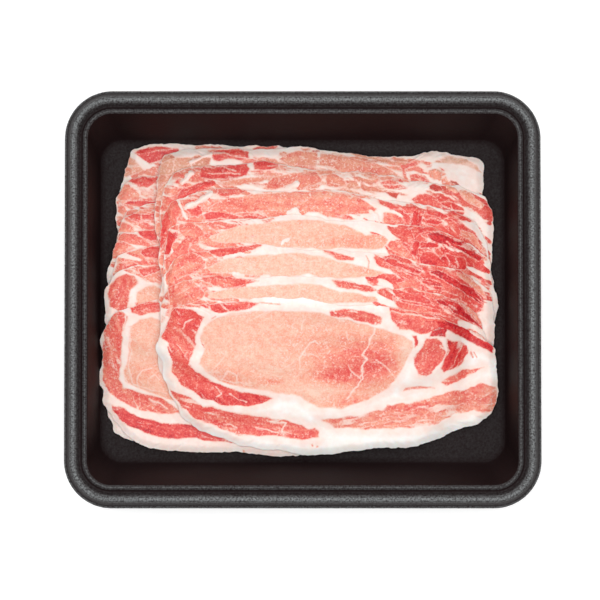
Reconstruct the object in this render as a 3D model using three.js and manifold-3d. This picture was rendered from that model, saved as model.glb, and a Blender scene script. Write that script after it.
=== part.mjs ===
// Pack of thinly sliced pork: a foam tray and fifteen slices of loin laid in it in two
// overlapping columns. Millimetres, +Z up. +X runs along the tray's long side and +Y
// towards its rear. The origin is the centre of the underside.

import * as THREE from 'three'
import { mergeVertices } from 'three/addons/utils/BufferGeometryUtils.js'
import Module from 'manifold-3d'

const wasm = await Module()
wasm.setup()

// Tray: outer size, and the foam that it is pressed from
const trayLength = 250
const trayWidth = 219
const trayHeight = 34
const foam = 2.4
const lipThickness = 1.4
const cornerRadius = 25
const cornerSteps = 7

// Rim, by distance from the tray's outer edge: a thin lip, the rounded crest, a groove
// and a small ridge beside the wall
const lipWidth = 1.2
const lipHeight = 28
const crestFrom = 3.7
const crestTo = 6.3
const grooveAt = 9.2
const grooveHeight = 31.4
const ridgeFrom = 10.2
const ridgeTo = 11.8
const ridgeHeight = 32.2
const rimWidth = 12.6

// Walls: how far they lean in on the way down, on the short sides and on the long ones,
// and the fold at their foot. foldTop is the share of the lean that is done above the fold.
const sideRun = 4.5
const frontRun = 11
const foldRadius = 3
const foldRise = 0.9
const foldTop = 0.93

// Slices. Their edges waver by two sets of waves, each with so many waves round the
// slice, a shift from one slice to the next and a strength.
const thickness = 1.2
const gap = 0.3
const outlineSteps = 38
const edgeWaves = [
  { count: 7, shift: 2.4, strength: 1.1 },
  { count: 13, shift: 4.1, strength: 0.7 },
]

// The pile: each slice lifts the later ones by its thickness, in full as far as
// fullLift outside its own edge, and then less and less over the next fadeLift
const fullLift = 5
const fadeLift = 13

// Slices lie loosely: they lift by up to twice looseness more, in swells that differ from
// slice to slice, and the lowest ones ripple on the tray
const looseness = 0.05
const swellX = 145
const swellY = 94
const rippleHeight = 1
const rippleX = 74
const rippleY = 57

// Side of the square cells that the slices' faces are split into
const cell = 12.5

// One slice seen from above, round its centre: rear edge, right end, front edge, left end
const sliceOutline = [
  [-82.5, 35.5], [-65, 39.5], [-30, 41], [10.5, 38.5], [47, 34], [66, 29.5], [85, 19],
  [88, 2], [90, -13], [82, -25], [66, -27.5], [47, -36], [10, -39.3], [-36, -38.8],
  [-62, -30.4], [-81, -17], [-87, 0], [-87, 21],
]

// Centres of the slices in the order in which they are laid, rear to front. A turn is in
// degrees, depth scales the slice front to rear, rearCorner pulls its right-hand rear
// corner rearwards and frontCorner its left-hand front corner forwards, in millimetres.
const cornerPullFrom = 40
const cornerPullTo = 85
const leftColumn = [
  { x: -10.8, y: 41.5, turn: -2 },
  { x: -12.4, y: 26.8, turn: -1.5 },
  { x: -12, y: 14.2, turn: 1 },
  { x: -13, y: 8.4 },
  { x: -16, y: -1.5, turn: -1 },
  { x: -16, y: -11 },
  { x: -17.7, y: -28.5, depth: 1.2, frontCorner: 19 },
  { x: -18.2, y: -41.2, depth: 1.02, frontCorner: 10 },
]
const rightColumn = [
  { x: 8.5, y: 41, rearCorner: 14 },
  { x: 12, y: 30.5, turn: -2, rearCorner: 8 },
  { x: 12, y: 18 },
  { x: 13, y: 3.8, turn: 1.5 },
  { x: 13.4, y: -13 },
  { x: 11, y: -28.7 },
  { x: 14.3, y: -40.7 },
]

const fullTurn = 2 * Math.PI

const foamBlack = new THREE.MeshStandardMaterial({ color: 0x2b2d2e, roughness: 0.6, metalness: 0 })

// Every other slice is a shade darker, as their lean meat varies
function meatMaterial(index) {
  const color = index % 2 ? 0xf0917c : 0xf3a38c
  return new THREE.MeshStandardMaterial({ color, roughness: 0.45, metalness: 0 })
}

// A closed surface through rings of equal count, each counter-clockwise from above: from
// the first ring outwards, over the edge and back underneath to the last one
function loftRings(rings) {
  const count = rings[0].length
  const positions = rings.flat().flatMap((point) => point.toArray())
  const indices = []
  for (let ring = 0; ring + 1 < rings.length; ring++) {
    for (let step = 0; step < count; step++) {
      const next = (step + 1) % count
      const a = ring * count + step
      const b = ring * count + next
      const c = (ring + 1) * count + next
      const d = (ring + 1) * count + step
      indices.push(a, d, c, a, c, b)
    }
  }
  const upper = rings[0].map((point) => new THREE.Vector2(point.x, point.y))
  const lastStart = (rings.length - 1) * count
  for (const [a, b, c] of THREE.ShapeUtils.triangulateShape(upper, [])) {
    indices.push(a, b, c)
    indices.push(lastStart + c, lastStart + b, lastStart + a)
  }
  const geometry = new THREE.BufferGeometry()
  geometry.setAttribute('position', new THREE.Float32BufferAttribute(positions, 3))
  geometry.setIndex(indices)
  geometry.computeVertexNormals()
  return geometry
}

// A rounded rectangle, set in from the tray's outer edge
function trayRing(insetX, insetY, height, radius) {
  const centreX = trayLength / 2 - insetX - radius
  const centreY = trayWidth / 2 - insetY - radius
  const points = []
  for (let corner = 0; corner < 4; corner++) {
    const signX = corner === 0 || corner === 3 ? 1 : -1
    const signY = corner < 2 ? 1 : -1
    for (let step = 0; step <= cornerSteps; step++) {
      const angle = (corner + step / cornerSteps) * (Math.PI / 2)
      const x = signX * centreX + radius * Math.cos(angle)
      const y = signY * centreY + radius * Math.sin(angle)
      points.push(new THREE.Vector3(x, y, height))
    }
  }
  return points
}

// A ring of the rim is as far from the edge on all four sides
function rimRing(inset, height) {
  return trayRing(inset, inset, height, cornerRadius - inset)
}

// A ring of the wall, at a share of the way down it; back is how far it lies behind the
// wall's inner face
function wallRing(down, height, back) {
  const insetX = rimWidth + sideRun * down - back
  const insetY = rimWidth + frontRun * down - back
  return trayRing(insetX, insetY, height, cornerRadius - rimWidth + back)
}

function trayGeometry() {
  const lipUnderside = lipHeight - lipThickness
  return loftRings([
    wallRing(1, foam, -foldRadius),
    wallRing(1, foam + foldRise, -foldRise),
    wallRing(foldTop, foam + foldRadius, 0),
    rimRing(rimWidth, grooveHeight),
    rimRing(ridgeTo, ridgeHeight),
    rimRing(ridgeFrom, ridgeHeight),
    rimRing(grooveAt, grooveHeight),
    rimRing(crestTo, trayHeight),
    rimRing(crestFrom, trayHeight),
    rimRing(lipWidth, lipHeight),
    rimRing(0, lipHeight),
    rimRing(0, lipUnderside),
    rimRing(lipWidth + lipThickness, lipUnderside),
    rimRing(crestFrom + foam / 2, trayHeight - foam),
    rimRing(crestTo, trayHeight - foam),
    rimRing(grooveAt, grooveHeight - foam),
    wallRing(0, grooveHeight - foam, foam),
    wallRing(foldTop, foam, foam),
    wallRing(1, foldRise, foam - foldRise),
    wallRing(1, 0, 0),
  ])
}

// The outline of one slice in the tray, clockwise from above, with an edge that wavers
// in and out differently on each slice
function placedOutline(place, index) {
  const { x, y, turn = 0, depth = 1, rearCorner = 0, frontCorner = 0 } = place
  const pull = (reach) => THREE.MathUtils.smoothstep(reach, cornerPullFrom, cornerPullTo)
  const knots = sliceOutline.map(([alongX, alongY]) => {
    const pulled = alongY > 0 ? rearCorner * pull(alongX) : -frontCorner * pull(-alongX)
    return new THREE.Vector3(alongX, (alongY + pulled) * depth, 0)
  })
  const curve = new THREE.CatmullRomCurve3(knots, true, 'centripetal')
  const angle = THREE.MathUtils.degToRad(turn)
  const points = []
  for (let step = 0; step < outlineSteps; step++) {
    const share = step / outlineSteps
    const tangent = curve.getTangentAt(share)
    const outward = new THREE.Vector3(-tangent.y, tangent.x, 0)
    const point = curve.getPointAt(share)
    for (const { count, shift, strength } of edgeWaves) {
      point.addScaledVector(outward, strength * Math.sin(count * share * fullTurn + shift * index))
    }
    const turned = new THREE.Vector2(point.x, point.y).rotateAround(new THREE.Vector2(), angle)
    points.push(turned.add(new THREE.Vector2(x, y)))
  }
  return points
}

// Distance from a point to an outline, 0 inside it
function distanceOutside(outline, x, y) {
  let inside = false
  let nearest = Infinity
  outline.forEach((a, step) => {
    const b = outline[(step + 1) % outline.length]
    if (a.y > y !== b.y > y && x < a.x + ((y - a.y) / (b.y - a.y)) * (b.x - a.x)) inside = !inside
    const edge = b.clone().sub(a)
    const share = new THREE.Vector2(x, y).sub(a).dot(edge) / edge.lengthSq()
    const foot = a.clone().addScaledVector(edge, THREE.MathUtils.clamp(share, 0, 1))
    nearest = Math.min(nearest, Math.hypot(x - foot.x, y - foot.y))
  })
  return inside ? 0 : nearest
}

// How far one slice lifts those above it
function liftOf(outline, index, x, y) {
  const beyond = distanceOutside(outline, x, y) - fullLift
  const share = 1 - THREE.MathUtils.smoothstep(beyond, 0, fadeLift)
  const swellAcross = Math.sin((x / swellX) * fullTurn + index)
  const swell = swellAcross * Math.cos((y / swellY) * fullTurn - index)
  return (thickness + gap) * share * (1 + looseness * (1 + swell))
}

// Underside of the slice that lies on the slices given
function pileHeight(below, x, y) {
  const ripple = Math.sin((x / rippleX) * fullTurn) * Math.cos((y / rippleY) * fullTurn)
  const ground = foam + gap + rippleHeight * (0.5 + 0.5 * ripple)
  return below.reduce((sum, outline, index) => sum + liftOf(outline, index, x, y), ground)
}

function toManifold(geometry) {
  const bare = geometry.clone()
  bare.deleteAttribute('normal')
  bare.deleteAttribute('uv')
  const merged = mergeVertices(bare, 1e-4)
  const vertProperties = new Float32Array(merged.attributes.position.array)
  const triVerts = new Uint32Array(merged.index.array)
  return new wasm.Manifold(new wasm.Mesh({ numProp: 3, vertProperties, triVerts }))
}

function toGeometry(solid) {
  const { vertProperties, triVerts } = solid.getMesh()
  const geometry = new THREE.BufferGeometry()
  geometry.setAttribute('position', new THREE.BufferAttribute(new Float32Array(vertProperties), 3))
  geometry.setIndex(new THREE.BufferAttribute(new Uint32Array(triVerts), 1))
  geometry.computeVertexNormals()
  return geometry
}

// A thin sheet over square cells that drapes on the slices below. All slices share the
// same cells, so their faces split alike and the gap between them holds.
function drapedSheet(outline, below) {
  const box = new THREE.Box2().setFromPoints(outline)
  const firstX = Math.floor(box.min.x / cell) - 1
  const firstY = Math.floor(box.min.y / cell) - 1
  const countX = Math.ceil(box.max.x / cell) + 1 - firstX
  const countY = Math.ceil(box.max.y / cell) + 1 - firstY
  const positions = []
  const sheet = new THREE.PlaneGeometry(1, 1, countX, countY)
  const position = sheet.attributes.position
  const rowLength = countX + 1
  for (const offset of [thickness, 0]) {
    for (let vertex = 0; vertex < position.count; vertex++) {
      const x = (firstX + (vertex % rowLength)) * cell
      const y = (firstY + countY - Math.floor(vertex / rowLength)) * cell
      positions.push(x, y, pileHeight(below, x, y) + offset)
    }
  }
  const upper = Array.from(sheet.index.array)
  const lower = []
  for (let corner = 0; corner < upper.length; corner += 3) {
    lower.push(...[2, 1, 0].map((step) => upper[corner + step] + position.count))
  }
  const border = []
  for (let step = 0; step < countX; step++) border.push(step)
  for (let step = 0; step < countY; step++) border.push(countX + step * rowLength)
  for (let step = countX; step > 0; step--) border.push(countY * rowLength + step)
  for (let step = countY; step > 0; step--) border.push(step * rowLength)
  const sides = border.flatMap((a, step) => {
    const b = border[(step + 1) % border.length]
    return [a, b, b + position.count, a, b + position.count, a + position.count]
  })
  const geometry = new THREE.BufferGeometry()
  geometry.setAttribute('position', new THREE.Float32BufferAttribute(positions, 3))
  geometry.setIndex([...upper, ...lower, ...sides])
  return geometry
}

// The sheet cut to the slice's outline
function sliceGeometry(outline, below) {
  const blade = new THREE.ExtrudeGeometry(new THREE.Shape(outline), {
    depth: 2 * trayHeight,
    bevelEnabled: false,
  })
  return toGeometry(toManifold(drapedSheet(outline, below)).intersect(toManifold(blade)))
}

const pack = new THREE.Group()

function addPiece(name, geometry, material) {
  const mesh = new THREE.Mesh(geometry, material)
  mesh.name = name
  pack.add(mesh)
}

addPiece('tray', trayGeometry(), foamBlack)

const laid = []
for (const [column, places] of [['left', leftColumn], ['right', rightColumn]]) {
  places.forEach((place, step) => {
    const outline = placedOutline(place, laid.length)
    addPiece(`slice_${column}_${step + 1}`, sliceGeometry(outline, laid), meatMaterial(laid.length))
    laid.push(outline)
  })
}

export default pack
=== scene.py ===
# The look of the pack of thinly sliced pork: a black foam tray, pressed by Geometry Nodes,
# and fifteen thin slices of loin that lie in it in two overlapping columns.
# Sizes are in millimetres and become metres where a mesh is made.
import math

import bpy
import numpy as np
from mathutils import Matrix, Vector
from mathutils.geometry import delaunay_2d_cdt


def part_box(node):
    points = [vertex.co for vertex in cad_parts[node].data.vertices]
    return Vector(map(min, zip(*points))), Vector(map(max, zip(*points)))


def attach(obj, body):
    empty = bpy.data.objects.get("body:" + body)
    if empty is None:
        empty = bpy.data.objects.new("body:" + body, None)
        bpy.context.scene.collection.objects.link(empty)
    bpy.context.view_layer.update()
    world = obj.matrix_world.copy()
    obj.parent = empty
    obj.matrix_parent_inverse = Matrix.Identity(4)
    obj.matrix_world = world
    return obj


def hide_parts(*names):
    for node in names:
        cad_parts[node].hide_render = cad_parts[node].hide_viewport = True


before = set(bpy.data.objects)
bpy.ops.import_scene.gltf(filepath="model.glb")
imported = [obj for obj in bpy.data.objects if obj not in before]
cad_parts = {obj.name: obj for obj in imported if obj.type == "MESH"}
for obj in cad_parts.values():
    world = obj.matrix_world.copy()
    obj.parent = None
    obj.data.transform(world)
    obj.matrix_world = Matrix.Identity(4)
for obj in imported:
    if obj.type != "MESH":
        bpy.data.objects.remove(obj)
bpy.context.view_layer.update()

mm = 0.001
fullTurn = 2 * math.pi


# A node with its settings; an input is a value or the socket that feeds it
def addNode(tree, kind, inputs=None, **settings):
    node = tree.nodes.new(kind)
    for name, value in settings.items():
        setattr(node, name, value)
    for name, value in (inputs or {}).items():
        if isinstance(value, bpy.types.NodeSocket):
            tree.links.new(value, node.inputs[name])
        else:
            node.inputs[name].default_value = value
    return node


def mathNode(tree, operation, *values, kind="ShaderNodeMath"):
    node = addNode(tree, kind, dict(enumerate(values)), operation=operation)
    return node.outputs[0]


def vectorMath(tree, operation, *values):
    return mathNode(tree, operation, *values, kind="ShaderNodeVectorMath")


# sRGB, 0 to 255, to the linear colour that sockets take
def colour(red, green, blue):
    shares = np.array([red, green, blue]) / 255
    linear = np.where(shares > 0.04045, ((shares + 0.055) / 1.055) ** 2.4, shares / 12.92)
    return (*linear.tolist(), 1)


def emptyMaterial(name):
    material = bpy.data.materials.new(name)
    material.use_nodes = True
    tree = material.node_tree
    return material, tree, tree.nodes["Principled BSDF"]


# ---- camera, at the photograph's height and tilt over the tray's rim

cameraSettings = {
    "distance": 1500,
    "tilt": 2.2,  # degrees towards the tray's front
    "aim": (-1.44, -0.65, 34),
    "pixel": 0.5222,  # width of one of 600 pixels at the rim
    "pixels": 600,
    "sensor": 36,
}


def makeCamera(settings):
    data = bpy.data.cameras.new("camera")
    data.sensor_width = settings["sensor"]
    data.lens = settings["sensor"] * settings["distance"] / (settings["pixel"] * settings["pixels"])
    tilt = math.radians(settings["tilt"])
    back = Vector((0, -math.sin(tilt), math.cos(tilt)))
    camera = bpy.data.objects.new("camera", data)
    camera.location = (Vector(settings["aim"]) + back * settings["distance"]) * mm
    camera.rotation_euler = (tilt, 0, 0)
    bpy.context.scene.collection.objects.link(camera)
    bpy.context.scene.camera = camera
    print("camera", round(data.lens, 1), "mm lens")


makeCamera(cameraSettings)


# ---- studio: a pale floor under soft light

studioSettings = {
    "sky": 0.52,
    "floorSize": 4.0,  # metres, as all of the studio
    "floorTone": (0.8, 0.8, 0.8, 1), "floorGlow": 0.45, "floorRoughness": 0.9, "floorShine": 0.1,
    "softboxes": [
        {"name": "overhead", "place": (-0.15, 0.15, 1.7), "size": 1.2, "watts": 12.4},
        {"name": "front", "place": (0.5, -0.9, 1.5), "size": 1.0, "watts": 7.5},
        {"name": "rear", "place": (-0.2, 1.7, 1.0), "size": 0.9, "watts": 9},
    ],
}


def makeStudio(settings):
    scene = bpy.context.scene
    scene.view_settings.view_transform = "Standard"
    scene.world = bpy.data.worlds.new("studio")
    scene.world.use_nodes = True
    background = scene.world.node_tree.nodes["Background"]
    background.inputs["Color"].default_value = (1, 1, 1, 1)
    background.inputs["Strength"].default_value = settings["sky"]
    half = settings["floorSize"] / 2
    mesh = bpy.data.meshes.new("floor")
    corners = [(-half, -half, 0), (half, -half, 0), (half, half, 0), (-half, half, 0)]
    mesh.from_pydata(corners, [], [(0, 1, 2, 3)])
    material, tree, shader = emptyMaterial("paleFloor")
    shader.inputs["Base Color"].default_value = settings["floorTone"]
    shader.inputs["Emission Color"].default_value = (1, 1, 1, 1)
    shader.inputs["Emission Strength"].default_value = settings["floorGlow"]
    shader.inputs["Roughness"].default_value = settings["floorRoughness"]
    shader.inputs["Specular IOR Level"].default_value = settings["floorShine"]
    mesh.materials.append(material)
    floor = bpy.data.objects.new("floor", mesh)
    scene.collection.objects.link(floor)
    for box in settings["softboxes"]:
        light = bpy.data.lights.new(box["name"], "AREA")
        light.size = box["size"]
        light.energy = box["watts"]
        lamp = bpy.data.objects.new(box["name"], light)
        lamp.location = box["place"]
        lamp.rotation_euler = (-Vector(box["place"])).to_track_quat("-Z", "Y").to_euler()
        scene.collection.objects.link(lamp)
    print("studio", len(settings["softboxes"]), "softboxes")


makeStudio(studioSettings)


# ---- tray: its section, pressed round a rounded rectangle

# A point of the section: distance in from the tray's edge, share of the wall's lean,
# height, radius of the rounding there, and how far it is rim rather than hollow: its share
# of the pale painted highlight that the lit faces get, and of the beads' height
traySettings = {
    "length": 250, "width": 219, "cornerRadius": 25,
    "sideLean": 4.5, "frontLean": 11,
    "stepsRound": 640, "roundingSteps": 4, "longestStep": 3.5, "leanReach": 8,
    "beadSize": 1.5, "beadDetail": 1.5, "beadHeight": 0.22,
    "beadsOnRim": 2.0, "beadsInWell": 0.12,  # shares of the beads' height
    "cornerSteps": 40, "sharpest": 0.48,  # largest share of a line that a rounding takes
    "mergeDistance": 2e-6,  # metres
    "spreads": (0, 0.3, 0.6, 0.8, 0.92),  # rings of the flat floor, as shares of its size
    "section": [
        (15.8, 1.0, 2.4, 0, 0.03), (13.5, 1.0, 3.1, 2.5, 0.02), (12.6, 0.92, 5.6, 3, 0.004),
        (12.6, 0.0, 31.3, 0.5, 0), (11.9, 0.0, 32.2, 0.7, 0.1), (11.1, 0.0, 32.2, 0, 0.24),
        (10.2, 0.0, 32.2, 0.7, 0.1), (9.3, 0.0, 31.2, 0.5, 0), (8.3, 0.0, 31.6, 0.8, 0.04),
        (7.2, 0.0, 33.0, 0.3, 0.08), (6.4, 0.0, 34.0, 1.6, 0.22), (5.6, 0.0, 34.0, 0, 0.42),
        (4.4, 0.0, 34.0, 0, 0.42), (3.6, 0.0, 34.0, 1.6, 0.22), (3.0, 0.0, 32.5, 0.3, 0.08),
        (1.3, 0.0, 28.0, 0.7, 0.07), (0.8, 0.0, 28.0, 0.2, 0.2), (0.0, 0.0, 28.0, 0.6, 0.3),
        (0.0, 0.0, 26.6, 0.6, 0.25), (2.6, 0.0, 26.6, 0.6, 0.1), (4.9, 0.0, 31.6, 1.0, 0.1),
        (6.4, 0.0, 31.6, 1.0, 0.1), (9.2, 0.0, 29.0, 0.8, 0.1), (10.2, 0.0, 29.0, 0.8, 0.1),
        (10.2, 0.93, 2.4, 1.0, 0.1), (11.1, 1.0, 0.9, 0.8, 0.1), (12.6, 1.0, 0.0, 0.8, 0.1),
        (13.6, 1.0, 0.0, 0, 0.1),
    ],
}


# The section's line with its corners rounded, as rows of inset, lean, height, spread, rim
def roundedSection(settings):
    reach = settings["leanReach"]
    points = np.array([(inset, lean * reach, height) for inset, lean, height, _, _ in settings["section"]])
    rims = [row[4] for row in settings["section"]]
    radii = [row[3] for row in settings["section"]]
    rows = []

    def addRow(point, rim):
        if rows:
            last, lastRim = rows[-1]
            pieces = max(1, math.ceil(np.linalg.norm(point - last) / settings["longestStep"]))
            for piece in range(1, pieces):
                share = piece / pieces
                rows.append((last + (point - last) * share, lastRim + (rim - lastRim) * share))
        rows.append((point, rim))

    for step, (point, radius, rim) in enumerate(zip(points, radii, rims)):
        if not radius:
            addRow(point, rim)
            continue
        before, after = points[step - 1] - point, points[step + 1] - point
        first = point + before * min(settings["sharpest"], radius / np.linalg.norm(before))
        last = point + after * min(settings["sharpest"], radius / np.linalg.norm(after))
        for turn in range(settings["roundingSteps"] + 1):
            share = turn / settings["roundingSteps"]
            along = (1 - share) ** 2 * first + 2 * share * (1 - share) * point + share**2 * last
            if turn:
                rows.append((along, rim))
            else:
                addRow(along, rim)
    section = [(inset, lean / reach, height, 1, rim) for (inset, lean, height), rim in rows]
    top, bottom = section[0], section[-1]
    floor = [(*top[:3], spread, top[4]) for spread in settings["spreads"]]
    under = [(*bottom[:3], spread, bottom[4]) for spread in reversed(settings["spreads"])]
    return np.array(floor + section + under)


# The tree sweeps the section it is given round the tray
def trayTree(settings):
    tree = bpy.data.node_groups.new("trayPressing", "GeometryNodeTree")
    sockets = [
        ("Section", "Geometry"), ("Length", "Float"), ("Width", "Float"), ("Corner Radius", "Float"),
        ("Side Lean", "Float"), ("Front Lean", "Float"), ("Steps Round", "Int"),
        ("Bead Size", "Float"), ("Bead Height", "Float"), ("Foam", "Material"),
    ]
    for name, kind in sockets:
        tree.interface.new_socket(name, in_out="INPUT", socket_type="NodeSocket" + kind)
    tree.interface.new_socket("Tray", in_out="OUTPUT", socket_type="NodeSocketGeometry")
    given = addNode(tree, "NodeGroupInput").outputs
    radius = given["Corner Radius"]

    # The tray's outer edge, and the rectangle of its corners' centres
    outer = addNode(tree, "GeometryNodeCurvePrimitiveQuadrilateral", {
        "Width": given["Length"], "Height": given["Width"],
    })
    edge = addNode(tree, "GeometryNodeFilletCurve", {
        "Curve": outer.outputs[0], "Radius": radius, "Count": settings["cornerSteps"],
    }, mode="POLY")
    halfLength = mathNode(tree, "SUBTRACT", mathNode(tree, "MULTIPLY", given["Length"], 0.5), radius)
    halfWidth = mathNode(tree, "SUBTRACT", mathNode(tree, "MULTIPLY", given["Width"], 0.5), radius)
    halves = addNode(tree, "ShaderNodeCombineXYZ", {"X": halfLength, "Y": halfWidth}).outputs[0]

    # One row of the grid for each point of the section, one column for each step round
    rows = addNode(tree, "GeometryNodeAttributeDomainSize", {0: given["Section"]}).outputs["Point Count"]
    columns = mathNode(tree, "ADD", given["Steps Round"], 1.0)
    grid = addNode(tree, "GeometryNodeMeshGrid", {"Vertices X": rows, "Vertices Y": columns})
    index = addNode(tree, "GeometryNodeInputIndex").outputs[0]
    row = mathNode(tree, "FLOOR", mathNode(tree, "DIVIDE", mathNode(tree, "ADD", index, 0.5), columns))
    column = mathNode(tree, "SUBTRACT", index, mathNode(tree, "MULTIPLY", row, columns))
    share = mathNode(tree, "DIVIDE", column, given["Steps Round"])
    ring = addNode(tree, "GeometryNodeSampleCurve", {"Curves": edge.outputs[0], "Factor": share},
                   mode="FACTOR", use_all_curves=True)
    place = ring.outputs["Position"]

    def fromSection(value, kind):
        sample = addNode(tree, "GeometryNodeSampleIndex", {"Geometry": given["Section"], "Index": row},
                         data_type=kind, domain="POINT")
        tree.links.new(value, sample.inputs["Value"])
        return sample.outputs[0]

    def named(name):
        node = addNode(tree, "GeometryNodeInputNamedAttribute", {"Name": name}, data_type="FLOAT")
        return fromSection(node.outputs["Attribute"], "FLOAT")

    sectionPlace = fromSection(addNode(tree, "GeometryNodeInputPosition").outputs[0], "FLOAT_VECTOR")
    parts = addNode(tree, "ShaderNodeSeparateXYZ", {0: sectionPlace}).outputs
    inset, lean, height = parts[0], parts[1], parts[2]

    # Nearest point of the corners' rectangle, and the way out from it
    lowest = vectorMath(tree, "SCALE", halves)
    lowest.node.inputs["Scale"].default_value = -1
    centre = vectorMath(tree, "MAXIMUM", vectorMath(tree, "MINIMUM", place, halves), lowest)
    outward = vectorMath(tree, "NORMALIZE", vectorMath(tree, "SUBTRACT", place, centre))
    leanX = mathNode(tree, "MULTIPLY", lean, mathNode(tree, "DIVIDE", given["Side Lean"], halfLength))
    leanY = mathNode(tree, "MULTIPLY", lean, mathNode(tree, "DIVIDE", given["Front Lean"], halfWidth))
    shrink = addNode(tree, "ShaderNodeCombineXYZ", {
        "X": mathNode(tree, "SUBTRACT", 1.0, leanX), "Y": mathNode(tree, "SUBTRACT", 1.0, leanY),
    }).outputs[0]
    out = vectorMath(tree, "SCALE", outward)
    tree.links.new(mathNode(tree, "SUBTRACT", radius, inset), out.node.inputs["Scale"])
    flat = vectorMath(tree, "ADD", vectorMath(tree, "MULTIPLY", centre, shrink), out)
    spread = vectorMath(tree, "SCALE", flat)
    tree.links.new(named("spread"), spread.node.inputs["Scale"])
    flatParts = addNode(tree, "ShaderNodeSeparateXYZ", {0: spread}).outputs
    target = addNode(tree, "ShaderNodeCombineXYZ", {
        "X": flatParts[0], "Y": flatParts[1], "Z": height,
    }).outputs[0]
    swept = addNode(tree, "GeometryNodeSetPosition", {"Geometry": grid.outputs["Mesh"], "Position": target})
    # The rim share sets the foam's painted highlight and how far the beads stand out
    marked = addNode(tree, "GeometryNodeStoreNamedAttribute", {
        "Geometry": swept.outputs[0], "Name": "rim", "Value": named("rim"),
    }, data_type="FLOAT", domain="POINT")
    closed = addNode(tree, "GeometryNodeMergeByDistance", {
        "Geometry": marked.outputs[0], "Distance": settings["mergeDistance"],
    })

    # Beads of the foam stand out a little, most on the rim
    position = addNode(tree, "GeometryNodeInputPosition").outputs[0]
    beads = addNode(tree, "ShaderNodeTexNoise", {
        "Vector": position, "Scale": mathNode(tree, "DIVIDE", 1.0, given["Bead Size"]),
        "Detail": settings["beadDetail"],
    }, noise_dimensions="3D")
    rim = addNode(tree, "GeometryNodeInputNamedAttribute", {"Name": "rim"}, data_type="FLOAT")
    onRim = mathNode(tree, "MULTIPLY", rim.outputs["Attribute"], settings["beadsOnRim"])
    onRim = mathNode(tree, "ADD", onRim, settings["beadsInWell"])
    rise = mathNode(tree, "MULTIPLY", mathNode(tree, "SUBTRACT", beads.outputs[0], 0.5), onRim)
    push = vectorMath(tree, "SCALE", addNode(tree, "GeometryNodeInputNormal").outputs[0])
    tree.links.new(mathNode(tree, "MULTIPLY", rise, given["Bead Height"]), push.node.inputs["Scale"])
    beaded = addNode(tree, "GeometryNodeSetPosition", {"Geometry": closed.outputs[0], "Offset": push})
    smooth = addNode(tree, "GeometryNodeSetShadeSmooth", {0: beaded.outputs[0]})
    real = addNode(tree, "GeometryNodeRealizeInstances", {0: smooth.outputs[0]})
    finished = addNode(tree, "GeometryNodeSetMaterial", {
        "Geometry": real.outputs[0], "Material": given["Foam"],
    })
    output = addNode(tree, "NodeGroupOutput")
    tree.links.new(finished.outputs[0], output.inputs["Tray"])
    return tree


foamSettings = {
    # Black foam with a painted red reflection of the meat, over the floor and walls of the tray
    "wellWithMeatReflection": colour(25, 12, 13),
    # Pale grey painted highlight where light falls on the crest, lip, ridge and outer slopes
    "rim": colour(150, 154, 155),
    "pebble": 1.0, "pebbleDetail": 3, "pebbleRoughness": 0.6,
    # The pebble noise flecks the painted highlight with painted glints on the beads
    "pebbleRange": (0.34, 0.66), "pebbleHighlight": (0.2, 1.8),  # how much it changes the rim's share
    "bump": 0.35, "bumpDepth": 0.25,
    "roughness": 0.6, "shine": 0.1,
}


def foamMaterial(settings):
    material, tree, shader = emptyMaterial("blackFoam")
    coords = addNode(tree, "ShaderNodeTexCoord").outputs["Object"]
    rim = addNode(tree, "ShaderNodeAttribute", attribute_name="rim").outputs["Fac"]
    pebble = addNode(tree, "ShaderNodeTexNoise", {
        "Vector": coords, "Scale": 1 / (settings["pebble"] * mm), "Detail": settings["pebbleDetail"],
        "Roughness": settings["pebbleRoughness"],
    }).outputs[0]
    low, high = settings["pebbleRange"]
    least, most = settings["pebbleHighlight"]
    lift = addNode(tree, "ShaderNodeMapRange", {
        "Value": pebble, "From Min": low, "From Max": high, "To Min": least, "To Max": most,
    }).outputs[0]
    # Painted highlight: the rim share, flecked by the pebbles, mixes pale grey into the black foam
    amount = mathNode(tree, "MULTIPLY", rim, lift)
    tone = addNode(tree, "ShaderNodeMix", {0: amount, 6: settings["wellWithMeatReflection"], 7: settings["rim"]},
                   data_type="RGBA")
    tree.links.new(tone.outputs[2], shader.inputs["Base Color"])
    bump = addNode(tree, "ShaderNodeBump", {
        "Height": pebble, "Strength": settings["bump"], "Distance": settings["bumpDepth"] * mm,
    })
    tree.links.new(bump.outputs[0], shader.inputs["Normal"])
    shader.inputs["Roughness"].default_value = settings["roughness"]
    shader.inputs["Specular IOR Level"].default_value = settings["shine"]
    return material


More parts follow.
